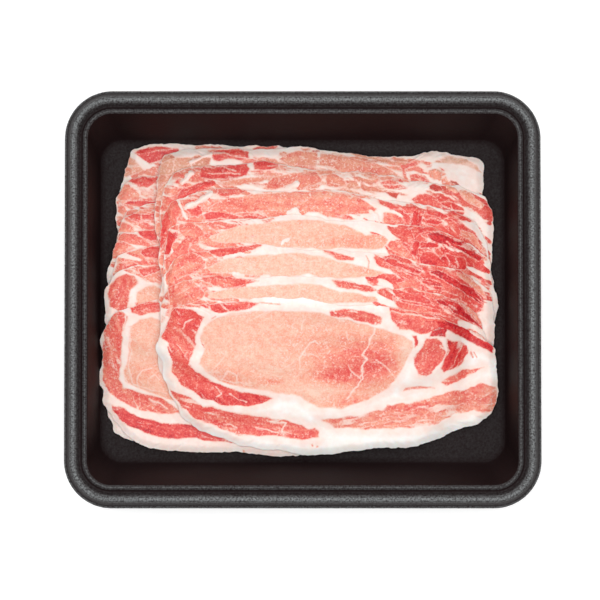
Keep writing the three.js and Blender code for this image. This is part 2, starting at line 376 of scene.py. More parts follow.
def makeTray(settings):
    rows = roundedSection(settings)
    mesh = bpy.data.meshes.new("traySection")
    scale = np.array([mm, 1, mm])
    mesh.from_pydata((rows[:, :3] * scale).tolist(), [(i, i + 1) for i in range(len(rows) - 1)], [])
    for name, column in (("spread", 3), ("rim", 4)):
        mesh.attributes.new(name, "FLOAT", "POINT").data.foreach_set("value", rows[:, column])
    source = bpy.data.objects.new("traySection", mesh)
    bpy.context.scene.collection.objects.link(source)
    modifier = source.modifiers.new("pressing", "NODES")
    modifier.node_group = trayTree(settings)
    values = {
        "Length": settings["length"] * mm, "Width": settings["width"] * mm,
        "Corner Radius": settings["cornerRadius"] * mm, "Side Lean": settings["sideLean"] * mm,
        "Front Lean": settings["frontLean"] * mm, "Steps Round": settings["stepsRound"],
        "Bead Size": settings["beadSize"] * mm, "Bead Height": settings["beadHeight"] * mm,
        "Foam": foamMaterial(foamSettings),
    }
    for item in modifier.node_group.interface.items_tree:
        if item.in_out == "INPUT" and item.name in values:
            modifier[item.identifier] = values[item.name]
    evaluated = source.evaluated_get(bpy.context.evaluated_depsgraph_get())
    pressed = bpy.data.meshes.new_from_object(evaluated)
    bpy.data.objects.remove(source)
    pressed.name = "foam_tray"
    tray = bpy.data.objects.new("foam_tray", pressed)
    bpy.context.scene.collection.objects.link(tray)
    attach(tray, "root")
    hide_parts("tray")
    print("tray", len(rows), "rows,", len(pressed.polygons), "faces")


makeTray(traySettings)


# ---- slices: outlines and places from the frame, heights by the pile's rule

pileSettings = {
    "thickness": 1.2, "gap": 0.3, "foam": 2.4,
    "fullLift": 5, "fadeLift": 13,  # how far outside its edge a slice lifts those above
    "looseness": 0.05, "swellX": 145, "swellY": 94,
    "rippleHeight": 1, "rippleX": 74, "rippleY": 57,
}

sliceSettings = {
    "edgeStep": 0.5,
    "edgeRounding": 2.2,  # smooths the frame's corners away
    "wavers": [(0.5, 1, 7.0, 70), (0.4, 1, 3.2, 90), (0.24, 1, 1.3, 110)],  # rules as grain takes them
    "insets": (0.1, 0.32, 0.65),  # rings inside the edge, where its face curves over
    "fineStep": 0.46, "coarseStep": 2.4,  # where the slice shows, and where it is covered
    "shownMargin": 2.5,
    "edgeThickness": 0.5, "thinFrom": 4.0,  # slices thin out towards their edge
    "settle": 0.2,  # how far the edge sinks towards the slice below
    "ringRoom": 0.6, "coarseRoom": 0.5, "underRoom": 0.4,  # grid steps between edge rings and grid
    "relief": 0.14, "reliefFrom": -0.6, "reliefTo": 0.8,  # fat stands up out of the lean
    "grain": (0.05, 1, 1.7, 40),
    "calmEdge": 2.0, "calmCover": 1.5,  # relief fades over these distances
}

# Places in pixels of the photograph where soft fat bulges over a slice's edge: reach and
# half length in millimetres
bulges = {
    "slice_right_7": [((163, 347), 4.2, 6.5), ((168, 375), 2.2, 4.5), ((168, 393), 1.6, 3)],
    "slice_left_8": [((104, 340), 1.3, 5), ((100, 378), 2.0, 6.5), ((104, 402), 1.5, 4)],
    "slice_left_7": [((103, 292), 1.6, 5), ((114, 432), 1.8, 2.2)],
    "slice_left_6": [((106, 263), 1.2, 3)],
    "slice_left_5": [((108, 246), 1.2, 3)],
    "slice_left_4": [((112, 228), 1.0, 3)],
    "slice_right_1": [((483, 162), 4.5, 8), ((398, 158), 1.6, 11)],
    "slice_right_2": [((489, 198), 1.2, 7)],
    "slice_right_6": [((497, 330), 1.2, 2)],
}

sliceCounts = {"left": 8, "right": 7}
sliceNames = [f"slice_{side}_{step + 1}" for side, count in sliceCounts.items() for step in range(count)]
frontSlice = len(sliceNames) - 1


def smoothstep(values, low, high):
    share = np.clip((values - low) / (high - low), 0, 1)
    return share * share * (3 - 2 * share)


latticeColumns, latticeRows = 97, 89  # the noise repeats after as many bumps
latticeStart = 1000  # keeps its columns and rows positive


# Soft noise from -1 to 1 with bumps of the given size
def noise(x, y, size, seed):
    lattice = np.random.default_rng(seed).uniform(-1, 1, (latticeColumns, latticeRows))
    u, v = x / size + latticeStart, y / size + latticeStart
    column, row = np.floor(u).astype(int), np.floor(v).astype(int)
    u, v = u - column, v - row
    u, v = u * u * (3 - 2 * u), v * v * (3 - 2 * v)

    def corner(right, up):
        return lattice[(column + right) % latticeColumns, (row + up) % latticeRows]

    low = corner(0, 0) * (1 - u) + corner(1, 0) * u
    high = corner(0, 1) * (1 - u) + corner(1, 1) * u
    return low * (1 - v) + high * v


# Noise by a rule: its strength, stretch along x, size of its bumps and seed
def grain(x, y, rule, step=0):
    strength, stretch, size, seed = rule
    return strength * noise(x / stretch, y, size, seed + step)


# Pixels of the photograph as places at a height, along the camera's rays
def photoPlaces(pixels, height):
    settings = cameraSettings
    tilt = math.radians(settings["tilt"])
    middle = settings["pixels"] / 2
    pixels = np.array(pixels, float)
    across = (pixels[:, 0] - middle) * settings["pixel"]
    up = (middle - pixels[:, 1]) * settings["pixel"]
    focal = np.stack([across, up * math.cos(tilt), up * math.sin(tilt)], axis=1)
    back = np.array([0, -math.sin(tilt), math.cos(tilt)]) * settings["distance"]
    place = focal + np.array(settings["aim"])
    share = (height - place[:, 2:]) / (back[2] - focal[:, 2:])
    return (place + (back - focal) * share)[:, :2]


# Distance to a line of points in millimetres; for a closed one it is negative outside
def lineDistance(x, y, line, closed=False):
    nearest = np.full(x.shape, np.inf)
    inside = np.zeros(x.shape, bool)
    ends = list(zip(line, list(line[1:]) + [line[0]]))
    for (ax, ay), (bx, by) in ends if closed else ends[:-1]:
        dx, dy = bx - ax, by - ay
        share = np.clip(((x - ax) * dx + (y - ay) * dy) / (dx * dx + dy * dy), 0, 1)
        nearest = np.minimum(nearest, (x - ax - share * dx) ** 2 + (y - ay - share * dy) ** 2)
        if closed and ay != by:
            crossed = (ay > y) != (by > y)
            inside ^= crossed & (x < ax + (y - ay) / dy * dx)
    nearest = np.sqrt(nearest)
    return np.where(inside, nearest, -nearest) if closed else nearest


uprightShare = 0.02  # of a face's normal that may point up on a slice's edge
leastBulge = 0.03  # millimetres by which a corner stands off the line past it


# The corners of a CAD slice's outline, counter-clockwise round its middle
def frameOutline(node):
    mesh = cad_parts[node].data
    places = np.zeros(len(mesh.vertices) * 3)
    mesh.vertices.foreach_get("co", places)
    places = places.reshape(-1, 3) / mm
    triangles = np.zeros(len(mesh.loop_triangles) * 3, int)
    mesh.loop_triangles.foreach_get("vertices", triangles)
    corners = places[triangles.reshape(-1, 3)]
    normals = np.cross(corners[:, 1] - corners[:, 0], corners[:, 2] - corners[:, 0])
    upright = np.abs(normals[:, 2]) < uprightShare * np.linalg.norm(normals, axis=1)
    edge = np.unique(corners[upright].reshape(-1, 3)[:, :2].round(2), axis=0)
    middle = (edge.min(0) + edge.max(0)) / 2
    edge = edge[np.argsort(np.arctan2(*(edge - middle).T[::-1]))]
    before, after = np.roll(edge, 1, axis=0), np.roll(edge, -1, axis=0)
    chord = after - before
    bulge = np.abs(chord[:, 0] * (edge - before)[:, 1] - chord[:, 1] * (edge - before)[:, 0])
    return edge[bulge / np.linalg.norm(chord, axis=1) > leastBulge]


outlines = [frameOutline(name) for name in sliceNames]
sliceHeights = [float(sum(corner[2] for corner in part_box(name))) / 2 / mm for name in sliceNames]
print("outlines of", sum(len(outline) for outline in outlines), "corners")


# Underside of a slice, as in the frame: each slice below lifts it by its thickness
def pileHeight(index, x, y, pile):
    ripple = np.sin(x / pile["rippleX"] * fullTurn) * np.cos(y / pile["rippleY"] * fullTurn)
    height = pile["foam"] + pile["gap"] + pile["rippleHeight"] * (0.5 + 0.5 * ripple)
    for below, outline in enumerate(outlines[:index]):
        beyond = np.maximum(-lineDistance(x, y, outline, closed=True), 0) - pile["fullLift"]
        share = 1 - smoothstep(beyond, 0, pile["fadeLift"])
        swell = np.sin(x / pile["swellX"] * fullTurn + below)
        swell = swell * np.cos(y / pile["swellY"] * fullTurn - below)
        height = height + (pile["thickness"] + pile["gap"]) * share * (1 + pile["looseness"] * (1 + swell))
    return height


# How deep a place lies under the slices above; negative where it shows
def coverOf(index, x, y):
    cover = np.full(x.shape, -np.inf)
    for above in outlines[index + 1:]:
        cover = np.maximum(cover, lineDistance(x, y, above, closed=True))
    return cover


# The slice's real edge: the frame's outline with its corners smoothed, wavers and bulges
def fineEdge(index, settings):
    outline = outlines[index]
    closed = np.vstack([outline, outline[:1]])
    lengths = np.concatenate([[0], np.cumsum(np.linalg.norm(np.diff(closed, axis=0), axis=1))])
    count = int(lengths[-1] / settings["edgeStep"])
    along = np.arange(count) / count * lengths[-1]
    edge = np.stack([np.interp(along, lengths, closed[:, axis]) for axis in (0, 1)], axis=1)
    offsets = np.minimum(along, lengths[-1] - along)
    kernel = np.exp(-0.5 * (offsets / settings["edgeRounding"]) ** 2)
    spectrum = np.fft.fft(kernel / kernel.sum())[:, None]
    edge = np.fft.ifft(np.fft.fft(edge, axis=0) * spectrum, axis=0).real
    outward = edgeNormals(edge)
    push = sum(grain(*edge.T, rule, index) for rule in settings["wavers"])
    for pixel, reach, half in bulges.get(sliceNames[index], []):
        place = photoPlaces([pixel], sliceHeights[index])[0]
        push = push + reach * np.exp(-((np.linalg.norm(edge - place, axis=1) / half) ** 2))
    return edge + outward * push[:, None]


def edgeNormals(edge):
    tangent = np.roll(edge, -2, axis=0) - np.roll(edge, 2, axis=0)
    tangent /= np.linalg.norm(tangent, axis=1)[:, None]
    return np.stack([tangent[:, 1], -tangent[:, 0]], axis=1)


# How far inside its edge a point lies, measured along its ray from the slice's middle
def insetOf(x, y, edge, middle):
    spokes = edge - middle
    angles = np.arctan2(spokes[:, 1], spokes[:, 0])
    order = np.argsort(angles)
    reach = np.linalg.norm(spokes, axis=1)
    slant = np.abs(np.sum(edgeNormals(edge) * spokes, axis=1)) / reach
    here = np.arctan2(y - middle[1], x - middle[0])
    rayReach = np.interp(here, angles[order], reach[order], period=fullTurn)
    raySlant = np.interp(here, angles[order], slant[order], period=fullTurn)
    return (rayReach - np.hypot(x - middle[0], y - middle[1])) * raySlant


rowRise = 0.866  # of a grid of equal-sided triangles
mergedPoints = 1e-6  # millimetres


def hexGrid(low, high, step):
    columns = np.arange(low[0], high[0], step)
    rows = np.arange(low[1], high[1], step * rowRise)
    x, y = np.meshgrid(columns, rows)
    return (x + (np.arange(len(rows)) % 2)[:, None] * step / 2).ravel(), y.ravel()


def triangulate(edge, inner):
    points = [Vector(point) for point in np.vstack([edge, inner]).tolist()]
    around = [(step, (step + 1) % len(edge)) for step in range(len(edge))]
    places, _, faces = delaunay_2d_cdt(points, around, [], 1, mergedPoints, False)[:3]
    places = np.array([tuple(place) for place in places])
    faces = np.array(faces)
    kept = np.ones(len(faces), bool)  # hollows of the edge stay open
    onEdge = np.nonzero((faces < len(edge)).all(axis=1))[0]
    middles = places[faces[onEdge]].mean(axis=1)
    kept[onEdge] = lineDistance(*middles.T, edge, closed=True) > 0
    return places, faces[kept]


# Points of a slice's upper face: close together where it shows
def upperPoints(index, edge, middle, settings):
    low, high = edge.min(0), edge.max(0)
    outward = edgeNormals(edge)
    rings = [edge - outward * inset for inset in settings["insets"]]
    fineMargin = settings["insets"][-1] + settings["fineStep"] * settings["ringRoom"]
    coarseMargin = settings["coarseStep"] * settings["coarseRoom"]
    kept = []
    for step, fine in ((settings["fineStep"], True), (settings["coarseStep"], False)):
        x, y = hexGrid(low, high, step)
        inside = insetOf(x, y, edge, middle) > (fineMargin if fine else coarseMargin)
        x, y = x[inside], y[inside]
        cover = coverOf(index, x, y)
        shown = cover < settings["shownMargin"]
        keep = shown if fine else cover > settings["shownMargin"] + settings["fineStep"]
        kept.append(np.stack([x[keep], y[keep]], axis=1))
    return np.vstack(rings + kept)


def sliceMesh(index, pile, settings):
    outline = outlines[index]
    middle = (outline.min(0) + outline.max(0)) / 2
    edge = fineEdge(index, settings)
    top, topFaces = triangulate(edge, upperPoints(index, edge, middle, settings))
    outward = edgeNormals(edge)
    x, y = hexGrid(edge.min(0), edge.max(0), settings["coarseStep"])
    deep = insetOf(x, y, edge, middle) > settings["coarseStep"] * settings["underRoom"]
    rings = [edge - outward * inset for inset in settings["insets"]]
    under, underFaces = triangulate(edge, np.vstack(rings + [np.stack([x[deep], y[deep]], axis=1)]))
    count = len(edge)
    points = np.vstack([top, under[count:]])
    x, y = points.T
    inset = np.maximum(insetOf(x, y, edge, middle), 0)
    inset[:count] = 0
    cover = coverOf(index, x, y)

    # Half thickness, thinner towards the edge, and rounded over at it
    inward = smoothstep(inset, 0, settings["thinFrom"])
    half = (settings["edgeThickness"] + (pile["thickness"] - settings["edgeThickness"]) * inward) / 2
    radius = settings["edgeThickness"] / 2
    curve = np.sqrt(np.clip(1 - (1 - np.clip(inset / radius, 0, 1)) ** 2, 0, 1)) * half
    upper = np.arange(len(points)) < len(top)
    paint = paintSlice(index, x, y, inset, cover)
    relief = settings["relief"] * smoothstep(-paint["lean"], settings["reliefFrom"], settings["reliefTo"])
    relief = relief + paint.pop("lift")
    relief = relief + grain(x, y, settings["grain"], index)
    relief = relief * smoothstep(inset, 0, settings["calmEdge"])
    relief = relief * smoothstep(-cover, 0, settings["calmCover"]) * upper
    bottom = pileHeight(index, x, y, pile) - settings["settle"] * (1 - inward)
    height = bottom + half + np.where(upper, curve, -curve) + relief
    places = np.stack([x, y, height], axis=1) * mm
    shift = np.where(underFaces < count, underFaces, underFaces + len(top) - count)
    faces = np.vstack([topFaces, shift[:, ::-1]])
    mesh = bpy.data.meshes.new(sliceNames[index])
    mesh.from_pydata(places.tolist(), [], faces.tolist())
    for name, values in paint.items():
        mesh.attributes.new(name, "FLOAT", "POINT").data.foreach_set("value", values.astype(np.float32))
    mesh.polygons.foreach_set("use_smooth", np.ones(len(faces), bool))
    return mesh


# ---- anatomy: lean meat in pixels of the photograph, laid on the slices. Each shape has
# a tone from pale to dark, a dryness, a share of marbling and an outline.

# The front slice of the right column, and with it what is covered of all the others
muscles = {
    "loin": (0.17, 0, 0.1, [
        (203, 327), (213, 320), (228, 315), (250, 311.5), (285, 311), (315, 312), (335, 318),
        (360, 323), (382, 329), (400, 335), (412, 341), (413, 349), (405, 362), (396, 379),
        (386, 389), (368, 400), (342, 408), (322, 407), (308, 403), (300, 396), (270, 391),
        (245, 388), (222, 382), (208, 374), (199, 364), (205, 349), (201, 338),
    ]),
    "rim muscle": (0.65, 0, 0.22, [
        (160, 305), (190, 309), (203, 318), (198, 327), (195, 337), (193, 350), (188, 363),
        (196, 372), (210, 381), (235, 391), (273, 398), (262, 404), (245, 407), (222, 405),
        (200, 397), (180, 384), (171, 372), (172, 358), (167, 342), (157, 334), (154, 320),
    ]),
    "belt left": (0.6, 0, 0.55, [
        (168, 389), (187, 396), (203, 406), (228, 412), (252, 417), (280, 420), (303, 425),
        (308, 430), (314, 428), (320, 431), (319, 437), (312, 439), (295, 439), (275, 436),
        (240, 435), (222, 430), (200, 421), (180, 407),
    ]),
    "belt right": (0.45, 0.1, 0.75, [
        (321, 420), (348, 418), (372, 413), (384, 410), (388, 406), (405, 404), (440, 396),
        (465, 389), (485, 384), (499, 387), (501, 400), (500, 408), (485, 413), (475, 410),
        (460, 413), (448, 418), (432, 426), (405, 428), (385, 429), (360, 429), (335, 428),
    ]),
    "eye left": (0.6, 0, 0.25, [
        (427, 338), (436, 338), (442, 341), (446, 352), (444, 360), (438, 366), (434, 373),
        (428, 376), (420, 374), (416, 366), (415, 357), (421, 350), (425, 344),
    ]),
    "eye right": (0.74, 0, 0.2, [
        (447, 338), (454, 341), (462, 341), (468, 345), (470, 352), (466, 360), (459, 366),
        (450, 370), (446, 372), (443, 368), (446, 358), (448, 348),
    ]),
    "crescent": (0.72, 0, 0, [
        (413, 335), (417, 336), (419, 341), (418, 345), (415, 347), (415, 340),
    ]),
    "rear right": (0.66, 0, 0.2, [
        (388, 301), (402, 299), (420, 300), (438, 305), (452, 312), (448, 322), (440, 328),
        (430, 332), (422, 334), (410, 330), (400, 329), (393, 320), (390, 310),
    ]),
    "dark streak": (0.88, 0, 0.05, [
        (422, 320), (432, 316), (444, 316), (453, 319), (462, 324), (474, 331), (486, 338),
        (496, 345), (496, 352), (486, 348), (474, 342), (462, 336), (452, 331), (444, 329),
        (432, 327),
    ]),
    "small dark": (0.93, 0, 0.1, [
        (431, 333), (434, 328), (443, 328), (449, 330), (446, 336), (436, 336), (430, 336),
    ]),
    "outer strip": (0.55, 0, 0.2, [
        (450, 309), (462, 313), (476, 320), (488, 329), (499, 340), (498, 346), (488, 339),
        (478, 332), (466, 325), (452, 319),
    ]),
    "long lens": (0.56, 0, 0.6, [
        (441, 382), (449, 376), (459, 371), (472, 369), (486, 366), (479, 371), (468, 375),
        (458, 381), (447, 386),
    ]),
    "thin lens": (0.5, 0, 0.4, [
        (404, 391), (406, 388), (422, 386), (436, 388), (424, 389), (412, 390),
    ]),
    "rear muscle": (0.66, 0, 0.5, [
        (200, 304), (207, 300), (222, 300), (243, 302), (258, 303), (252, 307), (243, 310),
        (230, 312), (218, 312), (206, 308),
    ]),
    "rear strip": (0.6, 0, 0.4, [
        (330, 311), (345, 310), (362, 311), (374, 314), (383, 318), (381, 324), (370, 323),
        (352, 319), (338, 317), (331, 316),
    ]),
    "rear lobe": (0.5, 0, 0.3, [
        (173, 300), (188, 301), (203, 303), (200, 308), (186, 307), (176, 306),
    ]),
}

# Lean meat of the other slices where it shows; each shape lies on the slice that is
# uppermost at its middle
shownMeat = {
    "left red 1": (0.74, 0, 0.4, [
        (134, 151), (139, 146.5), (150, 145), (165, 145), (177, 146), (178, 150), (170, 153), (164, 156),
        (157, 160), (150, 162), (143, 158), (138, 154),
    ]),
    "left loin 1": (0.26, 0.8, 0.15, [
        (149, 170), (156, 165), (164, 160), (176, 156.5), (188, 155.5), (193, 157), (190, 167),
        (182, 173), (168, 172.5), (155, 174),
    ]),
    "left loin 1 end": (0.38, 1, 0.15, [
        (195, 158), (203, 155), (211, 156), (209, 162), (203, 166), (195, 169), (192, 167),
    ]),
    "left rim 1": (0.33, 0.5, 0.15, [
        (121, 156), (126, 153), (131, 157), (137, 162), (142, 167), (136, 171), (130, 173), (123, 174),
        (119, 168),
    ]),
    "left red 2": (0.68, 0, 0.4, [
        (123, 176), (130, 174), (140, 174), (151, 176), (160, 174.5), (158, 178), (152, 183), (147, 186),
        (139, 184), (132, 181), (126, 179),
    ]),
    "left rim 2": (0.42, 0, 0.15, [
        (116, 197), (118, 188), (121, 182), (127, 182), (133, 187), (138, 193), (137, 198), (128, 199),
        (120, 199.5),
    ]),
    "left loin 2": (0.27, 0.5, 0.15, [
        (142, 198), (148, 192), (158, 187), (166, 181), (174, 178), (177, 182), (171, 187), (168, 196),
        (158, 198), (150, 199.5),
    ]),
    "left red 3": (0.7, 0, 0.4, [
        (123, 202), (130, 199), (142, 199), (152, 200), (160, 197.5), (164, 200), (158, 203), (151, 206),
        (142, 205), (132, 204),
    ]),
    "left rim 3": (0.45, 0, 0.15, [
        (117, 211), (120, 206), (128, 206), (138, 209), (150, 211), (158, 207.5), (160, 210),
        (150, 212.5), (135, 212), (122, 212),
    ]),
    "left red 4": (0.74, 0, 0.4, [
        (125, 215), (131, 212), (140, 212.5), (147, 213), (156, 211), (160, 214), (154, 218), (147, 221),
        (137, 220.5), (130, 219),
    ]),
    "left rim 4": (0.48, 0, 0.15, [
        (109, 231), (113, 225), (121, 221.5), (129, 223), (133, 228), (128, 232), (119, 231), (113, 234),
    ]),
    "left loin 4": (0.36, 0, 0.15, [
        (147, 230), (152, 225), (158, 221), (163, 223), (164, 230), (157, 233), (150, 232),
    ]),
    "left red 5": (0.78, 0, 0.4, [
        (136, 231), (146, 229), (154, 230), (158, 235), (157, 239.5), (150, 241), (143, 238), (138, 234),
    ]),
    "left rim 5": (0.5, 0, 0.4, [
        (110, 245), (113, 241), (122, 241), (130, 244), (136, 248), (127, 250), (120, 254), (114, 259),
        (110, 254),
    ]),
    "left red 6": (0.72, 0, 0.4, [
        (140, 249), (150, 246), (158, 247), (163, 253), (161, 259), (152, 257), (145, 256), (141, 253),
    ]),
    "left rim 6": (0.56, 0, 0.4, [
        (114, 272), (117, 263), (127, 260), (136, 263), (139, 267), (130, 269), (121, 270),
    ]),
    "left red 7": (0.62, 0, 0.4, [
        (138, 269), (148, 267), (157, 264), (161, 268), (157, 272), (150, 275), (143, 277), (140, 273),
    ]),
    "left rim 7": (0.6, 0, 0.4, [
        (109, 284), (115, 278), (126, 274), (135, 277), (137, 283), (130, 288), (127, 297), (126, 305),
        (127, 313), (118, 311), (110, 307), (108, 296),
    ]),
    "left loin 7": (0.22, 0, 0.15, [
        (135, 300), (137, 292), (144, 287), (153, 285), (161, 289), (163, 300), (160, 303), (150, 301),
        (138, 304),
    ]),
    "left red 8": (0.62, 0, 0.4, [
        (130, 307), (138, 303), (150, 301), (160, 303), (166, 305), (163, 310), (152, 313), (140, 315),
        (132, 313),
    ]),
    "left rim 8": (0.56, 0, 0.3, [
        (103, 318), (113, 311), (121, 312), (127, 317), (125, 323), (121, 335), (120, 350), (119, 365),
        (117, 378), (122, 387), (135, 392), (150, 396), (163, 400), (172, 406), (181, 413), (165, 414),
        (148, 412), (130, 406), (116, 399), (106, 391), (101, 380), (101, 360), (102, 340),
    ]),
    "left loin 8": (0.2, 0, 0.15, [
        (131, 326), (140, 320), (152, 318), (163, 322), (172, 330), (172, 400), (160, 397), (150, 392),
        (135, 387), (124, 381), (123, 370), (127, 360), (128, 345), (128, 335),
    ]),
    "left belt": (0.8, 0, 0.4, [
        (111, 405), (118, 407), (127, 412), (140, 418), (155, 421), (170, 425), (185, 424), (196, 427),
        (206, 431), (218, 437), (232, 442), (215, 441), (195, 439), (180, 439), (160, 438), (144, 433),
        (130, 428), (118, 420), (112, 412),
    ]),
    "twist 1": (0.55, 0, 0.4, [
        (160, 198), (168, 190), (175, 193), (178, 200), (183, 208), (178, 216), (172, 222), (170, 212),
        (164, 206),
    ]),
    "twist 2": (0.68, 0, 0.4, [
        (160, 212), (166, 210), (172, 214), (176, 220), (172, 228), (168, 236), (164, 244), (161, 250),
        (158, 244), (161, 232), (160, 222),
    ]),
    "twist 3": (0.84, 0, 0.4, [
        (162, 236), (167, 230), (172, 234), (177, 231), (176, 238), (171, 246), (169, 256), (163, 255),
        (161, 246),
    ]),
    "twist 4": (0.56, 0, 0.4, [
        (164, 262), (170, 256), (176, 250), (182, 241), (190, 236), (198, 236), (200, 243), (190, 246),
        (186, 256), (184, 264), (176, 268), (171, 276), (167, 272),
    ]),
    "twist 5": (0.54, 0, 0.4, [
        (170, 300), (168, 288), (171, 278), (176, 283), (176, 296), (178, 310), (170, 318), (165, 316),
        (168, 308),
    ]),
    "rear red 1": (0.66, 0, 0.4, [
        (212, 151), (218, 147), (228, 147), (240, 146), (249, 150), (249, 156), (240, 159), (228, 157),
        (218, 159), (213, 156),
    ]),
    "rear strip 1": (0.64, 0, 0.4, [
        (252, 146), (262, 143), (272, 143), (277, 145), (272, 148), (262, 149), (254, 148),
    ]),
    "rear loin 1": (0.43, 0.45, 0.15, [
        (280, 157), (288, 152), (298, 149), (310, 150), (317, 151), (318, 157), (316, 163), (305, 164),
        (296, 163), (291, 165), (286, 161),
    ]),
    "rear loin 1b": (0.38, 0.3, 0.15, [
        (321, 152), (330, 152), (340, 153), (350, 156), (360, 158), (372, 160), (384, 164), (394, 169),
        (400, 175), (396, 177), (384, 175), (372, 178), (360, 176), (350, 174), (342, 171), (334, 166),
        (326, 164), (320, 163),
    ]),
    "band 1": (0.55, 0, 0.4, [
        (385, 161), (398, 161), (405, 162), (415, 159), (425, 160), (415, 164), (405, 167), (408, 178),
        (410, 186), (406, 184), (403, 172), (400, 164), (392, 163),
    ]),
    "corner stain": (0.1, 0.9, 0.7, [
        (440, 157), (452, 154), (466, 156), (478, 163), (482, 171), (470, 163), (456, 160), (444, 160),
    ]),
    "rear edge 1": (0.36, 0.9, 0.5, [
        (350, 150), (365, 152), (380, 157), (398, 160), (410, 160), (404, 165), (388, 162), (372, 157),
        (358, 154),
    ]),
    "right muscle 1": (0.58, 0, 0.4, [
        (411, 172), (420, 171), (426, 174), (431, 180), (433, 188), (425, 190), (414, 188), (411, 182),
    ]),
    "right dark 1": (0.8, 0.4, 0.4, [
        (431, 184), (435, 182), (442, 185), (444, 189), (437, 190), (431, 187),
    ]),
    "streaks 1": (0.62, 0, 0.4, [
        (380, 181), (392, 179), (402, 183), (408, 187), (400, 188), (388, 187),
    ]),
    "fold 1": (0.38, 0.1, 0.15, [
        (442, 176), (447, 174), (451, 180), (452, 187), (456, 190), (449, 189), (444, 184),
    ]),
    "curl 1": (0.3, 0, 0.15, [
        (432, 170), (438, 168), (443, 171), (442, 177), (435, 178), (431, 175),
    ]),
    "corner strip": (0.38, 0.1, 0.15, [
        (460, 190), (466, 189), (475, 195), (485, 203), (483, 207), (473, 203), (464, 196),
    ]),
    "corner speck": (0.95, 0.8, 0.4, [
        (453, 178), (458, 180), (461, 184), (460, 187), (456, 184), (452, 181),
    ]),
    "rear red 2": (0.74, 0, 0.4, [
        (200, 168), (206, 165), (216, 161), (226, 159), (236, 160), (247, 162), (250, 168), (247, 174),
        (236, 176), (222, 178), (208, 178), (200, 177),
    ]),
    "rear strip 2": (0.72, 0, 0.4, [
        (253, 161), (262, 158), (273, 158), (279, 163), (275, 167), (264, 169), (254, 168),
    ]),
    "rear loin 2": (0.46, 0.2, 0.15, [
        (266, 187), (268, 181), (273, 176), (285, 173), (300, 171), (316, 170), (320, 174), (324, 183),
        (318, 187), (305, 188), (298, 189), (292, 182), (285, 184), (276, 189),
    ]),
    "rear loin 2b": (0.47, 0.3, 0.15, [
        (325, 174), (335, 173), (344, 178), (345, 184), (336, 186), (327, 184),
    ]),
    "rear loin 2c": (0.45, 0.7, 0.15, [
        (347, 179), (357, 180), (358, 185), (350, 188), (346, 186),
    ]),
    "rear loin 2d": (0.45, 0.8, 0.15, [
        (361, 180), (368, 185), (380, 188), (396, 190), (380, 191), (366, 190), (361, 187),
    ]),
    "rear dark 2": (0.75, 0.6, 0.4, [
        (386, 190), (400, 192), (397, 197), (391, 195),
    ]),
    "rear tan 2": (0.4, 0.2, 0.15, [
        (222, 182), (232, 178), (245, 177), (258, 176), (268, 176), (262, 180), (250, 182), (236, 184),
        (225, 185),
    ]),
    "right muscle 2": (0.62, 0, 0.4, [
        (416, 197), (420, 193), (428, 192), (436, 196), (441, 203), (442, 210), (436, 212), (430, 208),
        (424, 206), (416, 203),
    ]),
    "comb 2": (0.76, 0, 0.4, [
        (440, 201), (450, 200), (459, 202), (464, 206), (464, 214), (458, 214), (452, 211), (443, 209),
    ]),
    "rear red 3": (0.7, 0, 0.4, [
        (183, 201), (178, 193), (184, 187), (192, 184), (200, 181), (212, 182), (207, 187), (201, 192),
        (195, 197), (188, 202),
    ]),
    "rear strip 3": (0.62, 0, 0.4, [
        (218, 186), (226, 184), (236, 184), (247, 185), (254, 187), (246, 190), (238, 193), (230, 196),
        (222, 198), (217, 193),
    ]),
    "rear bit 3": (0.68, 0, 0.4, [
        (184, 207), (190, 209), (198, 205), (202, 211), (198, 217), (190, 215),
    ]),
    "rear loin 3": (0.42, 0, 0.15, [
        (207, 209), (214, 203), (226, 199), (240, 196), (256, 194), (270, 193), (285, 191), (297, 191),
        (310, 188), (325, 190), (340, 192), (355, 196), (368, 202), (376, 208), (372, 213), (355, 213),
        (340, 215), (328, 217), (318, 212), (308, 211), (300, 216), (297, 210), (288, 208), (275, 208),
        (262, 210), (250, 211), (235, 213), (220, 213),
    ]),
    "rear marbled 3": (0.42, 0, 0.15, [
        (262, 210), (272, 206), (284, 204), (292, 207), (296, 212), (288, 216), (278, 218), (268, 216),
    ]),
    "right streak 3": (0.65, 0, 0.4, [
        (374, 196), (384, 200), (395, 204), (402, 208), (392, 209), (382, 204),
    ]),
    "right stalk 3": (0.86, 0, 0.4, [
        (411, 212), (414, 208), (419, 212), (424, 216), (420, 224), (416, 232), (412, 238), (410, 230),
        (410, 220),
    ]),
    "right band 3": (0.64, 0, 0.4, [
        (402, 208), (410, 205), (418, 208), (426, 212), (424, 216), (414, 213), (405, 212),
    ]),
    "right band 3b": (0.68, 0, 0.4, [
        (427, 209), (436, 211), (446, 213), (450, 217), (444, 219), (436, 216), (428, 214),
    ]),
    "right band 3c": (0.75, 0, 0.4, [
        (426, 219), (436, 219), (444, 221), (438, 223.5), (428, 222.5),
    ]),
    "rear red 4": (0.66, 0, 0.4, [
        (201, 214), (210, 211), (222, 212), (232, 214), (240, 216), (250, 214), (258, 216), (250, 220),
        (240, 224), (232, 229), (222, 229), (212, 226), (206, 220),
    ]),
    "rear end 4": (0.48, 0, 0.15, [
        (182, 222), (190, 221), (198, 226), (206, 231), (204, 236), (194, 240), (186, 238), (180, 233),
        (177, 228),
    ]),
    "rear loin 4": (0.18, 0, 0.15, [
        (210, 238), (222, 232), (236, 228), (250, 225), (268, 222), (285, 221), (300, 220), (318, 220),
        (330, 223), (345, 225), (358, 231), (366, 235), (372, 234), (384, 237), (388, 241), (383, 248),
        (370, 249), (350, 248), (335, 248), (320, 249), (300, 247), (285, 249), (270, 246), (255, 243),
        (240, 242), (225, 242), (212, 241),
    ]),
    "rear strip 4": (0.52, 0, 0.4, [
